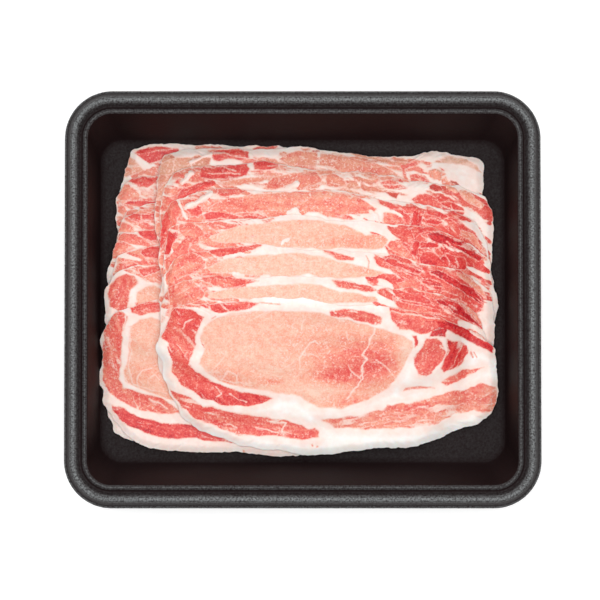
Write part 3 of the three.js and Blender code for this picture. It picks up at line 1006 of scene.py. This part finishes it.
        (324, 213), (335, 212), (350, 215), (357, 219), (345, 219), (332, 217),
    ]),
    "right oval 4": (0.52, 0, 0.4, [
        (383, 220), (384, 213), (390, 212), (397, 214), (403, 218), (407, 224), (407, 231), (402, 236),
        (395, 233), (388, 228),
    ]),
    "right muscle 4": (0.62, 0, 0.4, [
        (411, 228), (416, 224), (424, 223), (436, 224), (448, 226), (456, 229), (448, 232), (438, 231),
        (428, 231), (420, 234), (414, 239), (412, 234),
    ]),
    "right dark 4": (0.87, 0, 0.4, [
        (428, 234), (436, 232), (444, 234), (452, 238), (462, 241), (470, 246), (476, 252), (484, 257),
        (480, 260), (470, 256), (460, 250), (450, 247), (440, 243), (432, 240),
    ]),
    "right bit 4": (0.74, 0, 0.4, [
        (421, 243), (430, 242), (439, 244), (438, 248), (428, 248), (421, 247),
    ]),
    "right stalk 4": (0.86, 0, 0.4, [
        (412, 244), (416, 240), (420, 243), (418, 250), (417, 254), (413, 253),
    ]),
    "outer strip 4": (0.4, 0, 0.15, [
        (462, 229), (472, 233), (480, 240), (488, 252), (482, 250), (472, 240), (462, 235),
    ]),
    "rear red 5": (0.7, 0, 0.4, [
        (200, 243), (208, 240), (216, 243), (226, 246), (236, 247), (246, 246), (258, 243), (262, 245),
        (252, 250), (243, 253), (232, 256), (220, 257), (212, 254), (206, 250),
    ]),
    "rear end 5": (0.52, 0, 0.4, [
        (178, 256), (186, 248), (192, 252), (200, 256), (206, 262), (203, 268), (195, 274), (186, 276),
        (178, 280), (174, 272), (176, 262),
    ]),
    "rear loin 5": (0.16, 0, 0.15, [
        (207, 268), (216, 263), (230, 259), (250, 257), (275, 255), (298, 254), (320, 257), (340, 262),
        (357, 266), (372, 270), (382, 273), (376, 277), (360, 277), (340, 278), (320, 278), (308, 273),
        (298, 276), (280, 279), (268, 275), (255, 276), (240, 275), (225, 273), (212, 272),
    ]),
    "rear strip 5": (0.62, 0, 0.4, [
        (322, 250), (330, 251), (342, 254), (355, 258), (354, 261), (345, 261), (335, 258), (326, 254),
    ]),
    "right oval 5": (0.53, 0, 0.4, [
        (385, 247), (392, 241), (402, 243), (408, 249), (409, 256), (414, 255), (418, 258), (416, 264),
        (408, 266), (400, 262), (392, 258),
    ]),
    "right muscle 5": (0.72, 0, 0.4, [
        (420, 258), (423, 252), (432, 252), (439, 256), (444, 262), (450, 266), (460, 268), (455, 271),
        (444, 269), (432, 268), (422, 267),
    ]),
    "comb 5": (0.77, 0, 0.4, [
        (441, 258), (447, 254), (456, 255), (464, 257), (466, 263), (465, 269), (456, 268), (448, 266),
        (443, 263),
    ]),
    "right band 5": (0.74, 0, 0.4, [
        (384, 262), (388, 258), (398, 261), (408, 265), (416, 267), (424, 271), (418, 275), (410, 272),
        (400, 268), (390, 265),
    ]),
    "right band 5b": (0.62, 0, 0.4, [
        (388, 268), (398, 270), (408, 274), (418, 278), (414, 281), (404, 278), (394, 273),
    ]),
    "outer strip 5": (0.4, 0, 0.15, [
        (456, 272), (466, 274), (476, 281), (484, 289), (488, 298), (480, 292), (470, 284), (460, 277),
    ]),
    "rear red 6": (0.62, 0, 0.4, [
        (200, 276), (208, 273), (218, 274), (230, 276), (240, 278), (250, 279), (258, 281), (250, 283),
        (243, 286), (232, 288), (222, 289), (215, 286), (210, 283), (203, 282),
    ]),
    "rear end 6": (0.5, 0, 0.4, [
        (176, 290), (178, 282), (186, 279), (194, 283), (202, 288), (206, 294), (200, 300), (192, 303),
        (184, 306), (178, 310), (172, 304), (173, 296),
    ]),
    "rear loin 6": (0.17, 0, 0.15, [
        (208, 297), (218, 292), (232, 289), (250, 288), (275, 286), (300, 284), (320, 286), (340, 292),
        (360, 295), (376, 298), (378, 302), (360, 303), (340, 303), (325, 304), (314, 300), (305, 299),
        (296, 303), (280, 302), (268, 299), (250, 300), (235, 298), (220, 298),
    ]),
    "rear strip 6": (0.58, 0, 0.4, [
        (333, 281), (342, 282), (355, 284), (368, 285), (377, 290), (372, 292), (360, 291), (345, 289),
        (336, 286),
    ]),
    "right dark 6": (0.89, 0, 0.4, [
        (430, 272), (438, 270), (446, 273), (453, 278), (462, 284), (472, 287), (480, 294), (488, 302),
        (482, 303), (472, 297), (464, 291), (455, 287), (447, 282), (438, 277),
    ]),
    "right bit 6": (0.78, 0, 0.4, [
        (421, 280), (430, 279), (440, 282), (442, 286), (432, 285), (423, 284),
    ]),
    "right oval 6": (0.52, 0, 0.4, [
        (396, 284), (408, 280), (416, 279), (421, 283), (421, 290), (414, 292), (404, 290),
    ]),
    "right band 6": (0.71, 0, 0.4, [
        (387, 286), (395, 288), (400, 291), (410, 294), (420, 295), (430, 299), (432, 304), (420, 303),
        (405, 300), (396, 297),
    ]),
    "right muscle 6": (0.6, 0, 0.4, [
        (425, 290), (436, 289), (448, 291), (460, 297), (468, 304), (460, 302), (448, 297), (436, 297),
        (428, 296),
    ]),
    "right dark 7": (0.91, 0, 0.4, [
        (436, 299), (444, 298), (452, 301), (460, 305), (466, 311), (473, 317), (481, 325), (488, 332),
        (480, 328), (470, 321), (462, 316), (453, 312), (446, 307), (439, 303),
    ]),
    "right band 7": (0.6, 0, 0.4, [
        (393, 297), (400, 301), (410, 304), (420, 305), (430, 307), (440, 311), (452, 315), (462, 320),
        (450, 318), (435, 315), (420, 314), (405, 312), (396, 306),
    ]),
    "outer strip 7": (0.5, 0, 0.4, [
        (455, 296), (466, 301), (476, 308), (484, 316), (488, 327), (480, 322), (470, 313), (460, 306),
    ]),
}

# White lines of fat through the lean, with their widths in pixels
seams = [
    (1.6, [(376, 322), (373, 335), (366, 349), (363, 355), (368, 360), (361, 370), (363, 378),
          (358, 386), (347, 399)]),
    (1.0, [(363, 370), (359, 377), (352, 372)]),
    (0.9, [(376, 360), (384, 365), (390, 370), (398, 380)]),
    (1.3, [(300, 368), (301, 358), (305, 349), (309, 343), (314, 341), (320, 344)]),
    (0.9, [(303, 355), (311, 353), (318, 357)]), (1.0, [(211, 371), (219, 362), (226, 353)]),
    (1.2, [(221, 382), (224, 375), (228, 371), (235, 374), (236, 381)]),
    (0.8, [(281, 370), (290, 365), (294, 361)]),
    (1.1, [(200, 327), (210, 320), (225, 316), (250, 312)]),
    (0.8, [(255, 319), (262, 314), (270, 311)]), (0.7, [(302, 330), (305, 320), (303, 314)]),
    (1.0, [(188, 364), (200, 373), (215, 382), (240, 390), (268, 396)]),
    (1.0, [(193, 366), (207, 376), (225, 384), (250, 390), (280, 393)]),
    (0.9, [(196, 362), (203, 370), (216, 377), (232, 382), (252, 385)]),
    (1.0, [(198, 328), (197, 340), (196, 352), (192, 362)]),
    (0.8, [(208, 372), (220, 373), (222, 380)]),
    (1.1, [(447, 338), (449, 350), (444, 362), (440, 368)]), (1.0, [(460, 338), (462, 346)]),
    (1.5, [(441, 345), (444, 348)]), (1.8, [(470, 328), (480, 335), (494, 341)]),
    (1.2, [(182, 304), (190, 309), (203, 318)]), (1.0, [(183, 328), (186, 321), (191, 320)]),
    (1.0, [(215, 387), (221, 393), (217, 397)]), (0.8, [(228, 394), (236, 398), (246, 402)]),
    (1.6, [(280, 420), (270, 422), (285, 424), (282, 430), (285, 436)]),
    (1.2, [(222, 425), (230, 424), (236, 428)]), (1.0, [(205, 303), (212, 311)]),
    (1.0, [(216, 301), (222, 307), (228, 311)]), (1.3, [(321, 306), (332, 309), (337, 313)]),
    (1.0, [(392, 312), (408, 314), (424, 317), (440, 318)]),
    (0.9, [(396, 305), (410, 307), (424, 311)]),
    (1.0, [(450, 318), (462, 323), (476, 331), (490, 341)]), (0.8, [(345, 332), (348, 338)]),
    (0.8, [(347, 364), (352, 372), (350, 378)]),
]

# The same on the other slices
shownSeams = [
    (1.4, [(125, 316), (123, 330), (125, 345), (123, 360), (122, 375), (128, 386), (145, 391)]),
    (1.1, [(129, 318), (128, 335), (130, 350), (127, 368), (131, 383), (150, 389), (165, 393)]),
    (1.3, [(137, 390), (136, 378), (142, 371), (150, 368)]), (1.0, [(150, 378), (154, 374), (158, 379)]),
    (1.2, [(148, 399), (156, 403), (166, 408)]), (1.0, [(125, 408), (140, 414), (160, 420)]),
    (1.5, [(112, 164), (128, 164), (145, 163), (160, 158), (170, 152)]),
    (1.0, [(192, 154), (193, 162), (191, 170)]), (0.9, [(176, 157), (171, 165), (173, 172)]),
    (1.2, [(140, 212), (141, 220)]), (1.0, [(120, 236), (135, 240), (148, 245)]),
    (1.4, [(318, 150), (319, 158), (318, 165)]), (1.0, [(222, 150), (235, 155), (246, 156)]),
    (0.9, [(205, 166), (220, 165), (236, 170)]), (0.9, [(208, 172), (222, 172), (240, 173)]),
    (1.0, [(206, 220), (220, 218), (236, 222)]), (1.0, [(214, 226), (228, 222), (240, 220)]),
    (1.2, [(396, 300), (410, 303), (424, 304)]), (1.0, [(398, 262), (412, 268), (424, 272)]),
    (1.8, [(460, 305), (474, 317), (487, 330)]), (1.0, [(386, 215), (395, 224), (402, 236)]),
    (1.2, [(446, 242), (460, 250), (474, 259)]), (1.0, [(440, 204), (452, 208), (463, 211)]),
    (1.0, [(452, 203), (455, 212)]), (1.0, [(446, 256), (450, 265)]), (1.0, [(456, 257), (459, 266)]),
    (1.0, [(388, 190), (400, 186), (408, 186)]), (0.9, [(382, 183), (395, 183), (406, 180)]),
]

# Red specks and lines in the fat: tone, width and points
drips = [
    (0.75, 1.6, [(168, 347), (171, 356)]), (0.7, 2.0, [(171, 352), (172, 358)]),
    (0.55, 0.9, [(201, 338), (202, 344), (205, 348)]), (0.5, 1.5, [(312, 445), (312.5, 446)]),
    (0.4, 1.2, [(317, 447), (317.5, 447)]), (0.35, 1.4, [(243, 451), (244, 453)]),
    (0.5, 0.8, [(212, 319), (216, 317)]), (0.9, 1.3, [(313, 149), (319, 149)]),
    (0.95, 1.0, [(458, 221), (462, 227)]), (0.8, 1.1, [(364, 218), (370, 221), (378, 222)]),
    (0.45, 0.8, [(366, 256), (369, 262), (368, 270)]),
    (0.6, 0.8, [(226, 240), (240, 236), (256, 236)]), (0.6, 0.7, [(348, 212), (360, 215)]),
    (0.4, 0.8, [(260, 303), (280, 305)]),
    (0.6, 0.8, [(475, 352), (478, 357)]), (0.45, 1.6, [(472, 352), (474, 357)]),
]

# Curled edges and twists that stand up from the slices: height in millimetres, tone (none for
# fat), width in pixels and points
folds = [
    (0.9, None, 5, [(164, 262), (165, 272), (164, 282), (166, 292), (167, 300)]),
    (1.0, None, 6, [(187, 206), (195, 203), (203, 198), (210, 193)]),
    (0.8, None, 6, [(182, 181), (186, 177), (190, 172)]),
    (0.7, None, 4, [(176, 196), (179, 203), (183, 212), (186, 218)]),
    (0.6, None, 6, [(287, 188), (293, 185), (297, 182)]),
    (0.6, None, 6, [(289, 213), (296, 209), (299, 215)]),
    (0.5, None, 5, [(283, 243), (289, 239)]), (0.5, None, 5, [(371, 211), (377, 215), (379, 222)]),
    (0.5, None, 4, [(225, 258), (234, 256), (243, 254)]), (0.5, None, 4, [(233, 274), (243, 276)]),
    (0.5, None, 4, [(190, 161), (200, 156), (211, 152)]),
    (0.8, 0.56, 7, [(163, 200), (170, 210), (173, 222), (171, 238), (167, 250)]),
    (0.8, 0.45, 6, [(177, 256), (173, 270), (171, 284), (173, 296), (172, 307)]),
    (0.6, 0.6, 5, [(176, 250), (184, 244), (192, 240)]),
    (0.6, 0.72, 7, [(180, 197), (192, 190), (204, 184), (212, 182)]),
    (0.6, 0.4, 4, [(432, 175), (431, 170), (436, 168), (441, 171), (440, 177)]),
    (0.7, 0.28, 6, [(443, 177), (449, 184), (456, 190)]),
    (0.6, 0.8, 7, [(417, 210), (415, 224), (411, 237)]), (0.5, 0.82, 6, [(417, 243), (414, 253)]),
    (0.5, 0.66, 5, [(404, 208), (414, 207), (422, 212)]),
]

# Streaky tissue at the slices' ends: middle and half sizes in pixels, turn of the fibres in
# degrees, and millimetres of fat round the muscles in it
webs = [
    {"middle": (185, 232), "half": (85, 98), "turn": -14, "tone": 0.5, "cover": 0.72, "border": 0.22},
    {"middle": (436, 268), "half": (64, 98), "turn": -26, "tone": 0.67, "cover": 0.9, "border": 0.12},
    {"middle": (340, 170), "half": (110, 30), "turn": -8, "tone": 0.42, "cover": 0.5, "border": 0.2},
]

# Where lean meat is redder or paler: middle, half sizes and change of tone
tints = [
    (374, 362, 36, 26, 0.46), (330, 358, 30, 17, 0.18), (335, 376, 28, 9, 0.36),
    (350, 402, 26, 8, 0.26), (225, 378, 22, 10, 0.2), (272, 381, 14, 4, 0.2),
    (318, 392, 18, 8, -0.12), (405, 350, 9, 30, -0.22), (310, 335, 60, 16, 0.08),
    (235, 400, 36, 8, 0.22), (178, 350, 6, 24, -0.1), (190, 325, 12, 10, 0.08),
    (412, 407, 32, 5, 0.2), (470, 393, 24, 6, 0.12), (352, 422, 26, 6, 0.06),
    (462, 410, 30, 10, -0.04), (200, 414, 20, 6, 0.06), (452, 352, 8, 14, 0.08),
]

# The same where the other slices show
shownTints = [
    (365, 240, 34, 9, 0.2), (352, 207, 30, 8, 0.1), (366, 270, 22, 6, 0.16), (364, 299, 18, 5, 0.14),
    (215, 268, 12, 8, 0.1), (330, 243, 40, 5, 0.08), (230, 205, 24, 8, 0.1), (374, 170, 30, 8, 0.1),
    (290, 182, 24, 8, 0.06), (140, 375, 20, 10, 0.12), (148, 395, 30, 7, 0.08), (440, 250, 40, 40, 0.05),
]

# Rules of noise are as grain takes them; depths and reaches are in millimetres
paintSettings = {
    "templateHeight": 26,  # of the front slice's face, where its anatomy was measured
    "shownHeight": 18,  # of the other slices where they show
    "seenCover": 1,  # they are painted as seen up to this far under the next
    "farOut": -9.0,  # depth in lean meat far from any
    "plainTone": 0.3,  # of lean meat where no shape gives one
    "warps": [(1.3, 1.4, 3.4, 200), (0.45, 1.4, 1.3, 240)], "warpAlong": 1.4, "warpTurn": 20,
    "ragged": 0.3, "raggedMarbling": 0.35,  # share of the warp that an outline takes
    "fibres": [(0.7, 8, 0.85, 300), (0.5, 8, 1.7, 340)], "fibreDepth": 0.9,
    "openMarbling": 0.65, "openBelow": 0.3, "openDepth": -0.25,  # streaks of fat between fibres
    "streaks": (0.1, 8, 1.36, 380), "streakFrom": 0.2, "streakTo": 0.5,
    "seamReach": 5, "seamRagged": 0.45,
    "tintFall": 1.2,
    "foldWarps": [(0.5, 1, 2.4, 560), (0.5, 1, 2.4, 561)], "foldGrain": (0.3, 1, 1.3, 562),
    "foldReach": 2, "foldSlim": 0.15, "foldFoot": 0.5, "foldFat": 0.3,
    "dripReach": 3, "dripOver": -0.3,
    "blush": 0.14, "blushes": [(0.4, -6, -1.5), (0.45, -0.9, 0.1)],  # strength and range of depth
    "blushGrain": (0.1, 1, 5, 420),
    "edgeFat": 0.22,  # millimetres of fat along a slice's edge
    "edgeGrain": (0.8, 1, 2.5, 440), "edgeSlope": 2,
}

# A web's ragged, faded border, its wavy fibres and their change of tone
webSettings = {
    "ragged": (0.3, 3, 3, 540), "swing": (0.1, 1, 9, 550), "fadeFrom": 0.72, "fadeDepth": 3,
    "wave": (1.5, 1, 6, 460), "fibres": [(1.0, 8, 1.5, 480), (0.6, 3, 0.7, 500)], "fibreDepth": 0.8,
    "edgeFade": 1, "edgeDepth": 0.8, "tones": (0.12, 4, 2.2, 520),
}


def boxNear(x, y, line, reach):
    low, high = np.min(line, axis=0) - reach, np.max(line, axis=0) + reach
    return np.nonzero((x > low[0]) & (x < high[0]) & (y > low[1]) & (y < high[1]))[0]


# Shapes with their pixels turned into places; the last item of each is its line
def laidOut(shapes, height):
    shapes = shapes.values() if isinstance(shapes, dict) else shapes
    return [(*shape[:-1], photoPlaces(shape[-1], height)) for shape in shapes]


# The slice that is uppermost at the middle of a line
def ownerOf(line):
    x, y = np.mean(line, axis=0)[:, None]
    return max((index for index, outline in enumerate(outlines)
                if lineDistance(x, y, outline, closed=True)[0] > 0), default=0)


def ownShapes(shapes, height):
    owned = [[] for _ in sliceNames]
    for shape in laidOut(shapes, height):
        owned[ownerOf(shape[-1])].append(shape)
    return owned


pixelSize = cameraSettings["pixel"]
template = [laidOut(shapes, paintSettings["templateHeight"]) for shapes in (muscles, seams)]
shown = [ownShapes(shapes, paintSettings["shownHeight"]) for shapes in (shownMeat, shownSeams)]
shownDrips = ownShapes(drips, paintSettings["shownHeight"])
shownFolds = ownShapes(folds, paintSettings["shownHeight"])


# Lean is the depth in lean meat, tone its redness and dry its brownness
def paintLayer(x, y, layer, seed, settings):
    lean = np.full(x.shape, settings["farOut"])
    tone = np.full(x.shape, settings["plainTone"])
    dry = np.zeros(x.shape)
    warpX = sum(grain(x, y, rule, seed) * settings["warpAlong"] for rule in settings["warps"])
    warpY = sum(grain(x, y, rule, seed + settings["warpTurn"]) for rule in settings["warps"])
    shapes, lines = layer
    for step, (shapeTone, shapeDry, marbling, line) in enumerate(shapes):
        near = boxNear(x, y, line, -settings["farOut"])
        if not len(near):
            continue
        ragged = settings["ragged"] + settings["raggedMarbling"] * marbling
        here = x[near] + warpX[near] * ragged, y[near] + warpY[near] * ragged
        depth = lineDistance(*here, line, closed=True)
        dx, dy = np.linalg.svd(line - line.mean(axis=0))[2][0]  # the shape's long direction
        along, across = here[0] * dx + here[1] * dy, here[1] * dx - here[0] * dy
        fibre = sum(grain(along, across, rule, step) for rule in settings["fibres"])
        opening = (1.0 - settings["openMarbling"] * marbling - fibre) * settings["fibreDepth"]
        opened = np.minimum(depth, np.maximum(opening, settings["openDepth"]))
        inside = np.where(opening < settings["openBelow"], opened, depth)
        better = inside > lean[near]
        lean[near] = np.where(better, inside, lean[near])
        streak = grain(along, across, settings["streaks"], step)
        streak = streak * smoothstep(shapeTone, settings["streakFrom"], settings["streakTo"])
        tone[near] = np.where(better, shapeTone + streak, tone[near])
        dry[near] = np.where(better, shapeDry, dry[near])
    for width, line in lines:
        near = boxNear(x, y, line, settings["seamReach"])
        ragged = settings["seamRagged"]
        here = x[near] + warpX[near] * ragged, y[near] + warpY[near] * ragged
        lean[near] = np.minimum(lean[near], lineDistance(*here, line) - width * pixelSize / 2)
    return lean, tone, dry


# Streaky tissue between the muscles, where there is no deeper lean meat
def paintWebs(x, y, inset, layers, index, settings):
    lean, tone, _ = layers
    for web in webs:
        middle = photoPlaces([web["middle"]], paintSettings["shownHeight"])[0]
        far = [np.abs(place - centre) / half / pixelSize
               for place, centre, half in zip((x, y), middle, web["half"])]
        turn = math.radians(web["turn"])
        along = x * math.cos(turn) + y * math.sin(turn)
        across = y * math.cos(turn) - x * math.sin(turn)
        ragged = grain(along, across, settings["ragged"], index) + grain(x, y, settings["swing"], index)
        outside = smoothstep(np.cbrt(far[0] ** 3 + far[1] ** 3) + ragged, settings["fadeFrom"], 1)
        across = across + grain(x, y, settings["wave"], index)
        fibre = sum(grain(along, across, rule, index) for rule in settings["fibres"])
        atEdge = 1 - smoothstep(inset, 0, settings["edgeFade"])
        depth = (fibre + web["cover"] * 2 - 1) * settings["fibreDepth"]
        depth = depth - settings["fadeDepth"] * outside - settings["edgeDepth"] * atEdge
        depth = np.minimum(depth, -lean - web["border"])
        better = depth > lean
        lean[:] = np.where(better, depth, lean)
        tone[:] = np.where(better, web["tone"] + grain(along, across, settings["tones"], index), tone)


def tinted(x, y, tone, patches, height):
    for middleX, middleY, halfX, halfY, change in patches:
        place = photoPlaces([(middleX, middleY)], height)[0]
        far = ((x - place[0]) / halfX) ** 2 + ((y - place[1]) / halfY) ** 2
        tone = tone + change * np.exp(-paintSettings["tintFall"] * far / pixelSize**2)
    return tone


# Curled edges and twists, with the height that they lift the face
def paintFolds(x, y, lean, tone, shapes, settings):
    lift = np.zeros(x.shape)
    for height, foldTone, width, line in shapes:
        half = width * pixelSize / 2
        near = boxNear(x, y, line, settings["foldReach"] * half)
        there = x[near], y[near]
        here = [place + grain(*there, rule) for place, rule in zip(there, settings["foldWarps"])]
        depth = half - lineDistance(*here, line) + grain(*there, settings["foldGrain"])
        depth = depth - settings["foldSlim"]
        lift[near] = np.maximum(lift[near], height * smoothstep(depth, -settings["foldFoot"], half))
        if foldTone is None:
            lean[near] = np.where(depth > 0, -depth - settings["foldFat"], lean[near])
        else:
            lean[near] = np.where(depth > 0, depth, lean[near])
            tone[near] = np.where(depth > 0, foldTone, tone[near])
    return lift


# What is covered takes its anatomy from the front slice, stretched to the slice's box
def paintSlice(index, x, y, inset, cover):
    settings = paintSettings
    low, high = outlines[index].min(0), outlines[index].max(0)
    frontLow, frontHigh = outlines[frontSlice].min(0), outlines[frontSlice].max(0)
    u = frontLow[0] + (x - low[0]) / (high[0] - low[0]) * (frontHigh[0] - frontLow[0])
    v = frontLow[1] + (y - low[1]) / (high[1] - low[1]) * (frontHigh[1] - frontLow[1])
    lean, tone, dry = paintLayer(u, v, template, index, settings)
    tone = tinted(u, v, tone, tints, settings["templateHeight"])
    if index != frontSlice:
        seen = cover < settings["seenCover"]
        own = paintLayer(x[seen], y[seen], [layer[index] for layer in shown], index, settings)
        for values, ownValues in zip((lean, tone, dry), own):
            values[seen] = ownValues
        tone[seen] = tinted(x[seen], y[seen], tone[seen], shownTints, settings["shownHeight"])
        paintWebs(x, y, inset, (lean, tone, dry), index, webSettings)
    lift = paintFolds(x, y, lean, tone, shownFolds[index], settings)
    for dripTone, width, line in shownDrips[index]:
        near = boxNear(x, y, line, settings["dripReach"])
        depth = width * pixelSize / 2 - lineDistance(x[near], y[near], line)
        wet = depth > np.maximum(lean[near], settings["dripOver"])
        lean[near] = np.where(wet, depth, lean[near])
        tone[near] = np.where(wet, dripTone, tone[near])
    blush = settings["blush"]
    for strength, far, close in settings["blushes"]:
        blush = blush + strength * smoothstep(lean, far, close)
    blush = blush + grain(x, y, settings["blushGrain"], index)
    edgeFat = settings["edgeFat"] * (1 + grain(x, y, settings["edgeGrain"], index))
    lean = np.minimum(lean, (inset - edgeFat) * settings["edgeSlope"])
    return {"lean": lean, "tone": tone, "dry": dry, "blush": blush, "lift": lift}


meatSettings = {
    "fat": colour(255, 250, 246), "fatPink": colour(251, 207, 193),
    "lean": [
        (0.0, colour(250, 207, 187)), (0.15, colour(248, 190, 166)), (0.35, colour(245, 160, 135)),
        (0.5, colour(239, 131, 112)), (0.62, colour(234, 101, 89)), (0.75, colour(228, 71, 66)),
        (0.88, colour(216, 42, 48)), (1.0, colour(184, 22, 36)),
    ],
    "dryMeat": colour(196, 140, 108), "dryShare": 0.4,
    "noises": {  # size in millimetres, detail, the range taken from it and what that becomes
        "crisp": (0.9, 2, (0.3, 0.7), (-0.22, 0.22)),  # on the border of the lean
        "fleckGate": (6.0, 1, (0.4, 0.6), (0.35, 1)), "flecks": (1.2, 2, (0.55, 0.61), (0, 1)),
        "hairs": (2.4, 0, (0.495, 0.505), (0, 1)),
        "mottle": (3.2, 4, (0.3, 0.7), (-0.11, 0.11)), "speckle": (0.8, 1, (0.3, 0.7), (-0.07, 0.07)),
        "cloud": (4, 4, (0.35, 0.65), (-0.12, 0.12)), "bump": (0.7, 3),
    },
    "noiseRoughness": 0.6, "border": (-0.34, 0.42), "hairStrength": 1.2,
    "redTones": (0.4, 0.8), "redFlecks": (0.9, 0.2),  # share of the flecks that pale and red meat show
    "bumpStrength": 0.25, "bumpDepth": 0.1,
    "roughness": 0.4, "shine": 0.35,
    "glow": 0.25, "glowRadius": (1.0, 0.42, 0.3), "glowScale": 1.6,  # light that enters the meat
}


def meatMaterial(settings):
    material, tree, shader = emptyMaterial("porkMeat")
    coords = addNode(tree, "ShaderNodeTexCoord").outputs["Object"]

    def attribute(name):
        return addNode(tree, "ShaderNodeAttribute", attribute_name=name).outputs["Fac"]

    def fineNoise(name):
        size, detail = settings["noises"][name][:2]
        return addNode(tree, "ShaderNodeTexNoise", {
            "Vector": coords, "Scale": 1 / (size * mm), "Detail": detail,
            "Roughness": settings["noiseRoughness"],
        }).outputs[0]

    def ranged(value, given, wanted=(0, 1), smooth=False):
        return addNode(tree, "ShaderNodeMapRange", {
            "Value": value, "From Min": given[0], "From Max": given[1],
            "To Min": wanted[0], "To Max": wanted[1],
        }, interpolation_type="SMOOTHSTEP" if smooth else "LINEAR").outputs[0]

    def rangedNoise(name):
        return ranged(fineNoise(name), *settings["noises"][name][2:])

    def mixed(share, first, second):
        return addNode(tree, "ShaderNodeMix", {0: share, 6: first, 7: second},
                       data_type="RGBA").outputs[2]

    border = mathNode(tree, "ADD", attribute("lean"), rangedNoise("crisp"))
    inLean = ranged(border, settings["border"], smooth=True)

    # White flecks of fat in the lean, closer together in some places
    fleckGate = rangedNoise("fleckGate")
    flecks = rangedNoise("flecks")
    hairs = rangedNoise("hairs")
    hairEdge = mathNode(tree, "MULTIPLY", hairs, mathNode(tree, "SUBTRACT", 1.0, hairs))
    hairEdge = mathNode(tree, "MULTIPLY", hairEdge, settings["hairStrength"])
    flecks = mathNode(tree, "ADD", flecks, hairEdge)
    fewInRed = ranged(attribute("tone"), settings["redTones"], settings["redFlecks"])
    flecks = mathNode(tree, "MULTIPLY", mathNode(tree, "MULTIPLY", flecks, fleckGate), fewInRed)
    inLean = mathNode(tree, "MULTIPLY", inLean, mathNode(tree, "SUBTRACT", 1.0, flecks))

    tone = mathNode(tree, "ADD", attribute("tone"), rangedNoise("mottle"))
    tone = mathNode(tree, "ADD", tone, rangedNoise("speckle"))
    ramp = addNode(tree, "ShaderNodeValToRGB", {"Fac": tone})
    stops = ramp.color_ramp.elements
    stops.remove(stops[1])
    stops[0].position, stops[0].color = settings["lean"][0]
    for place, shade in settings["lean"][1:]:
        stops.new(place).color = shade
    dryShare = mathNode(tree, "MULTIPLY", attribute("dry"), settings["dryShare"])
    meat = mixed(dryShare, ramp.outputs[0], settings["dryMeat"])
    cloudy = mathNode(tree, "ADD", attribute("blush"), rangedNoise("cloud"))
    blush = addNode(tree, "ShaderNodeClamp", {0: cloudy})
    fat = mixed(blush.outputs[0], settings["fat"], settings["fatPink"])
    tree.links.new(mixed(inLean, fat, meat), shader.inputs["Base Color"])
    bump = addNode(tree, "ShaderNodeBump", {
        "Height": fineNoise("bump"), "Strength": settings["bumpStrength"],
        "Distance": settings["bumpDepth"] * mm,
    })
    tree.links.new(bump.outputs[0], shader.inputs["Normal"])
    shader.inputs["Roughness"].default_value = settings["roughness"]
    shader.inputs["Specular IOR Level"].default_value = settings["shine"]
    shader.inputs["Subsurface Weight"].default_value = settings["glow"]
    shader.inputs["Subsurface Radius"].default_value = settings["glowRadius"]
    shader.inputs["Subsurface Scale"].default_value = settings["glowScale"] * mm
    return material


def makeSlices():
    meat = meatMaterial(meatSettings)
    for index, name in enumerate(sliceNames):
        mesh = sliceMesh(index, pileSettings, sliceSettings)
        mesh.materials.append(meat)
        piece = bpy.data.objects.new("pork_" + name, mesh)
        bpy.context.scene.collection.objects.link(piece)
        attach(piece, "root")
        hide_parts(name)
        print("slice", name, len(mesh.polygons), "triangles")


makeSlices()
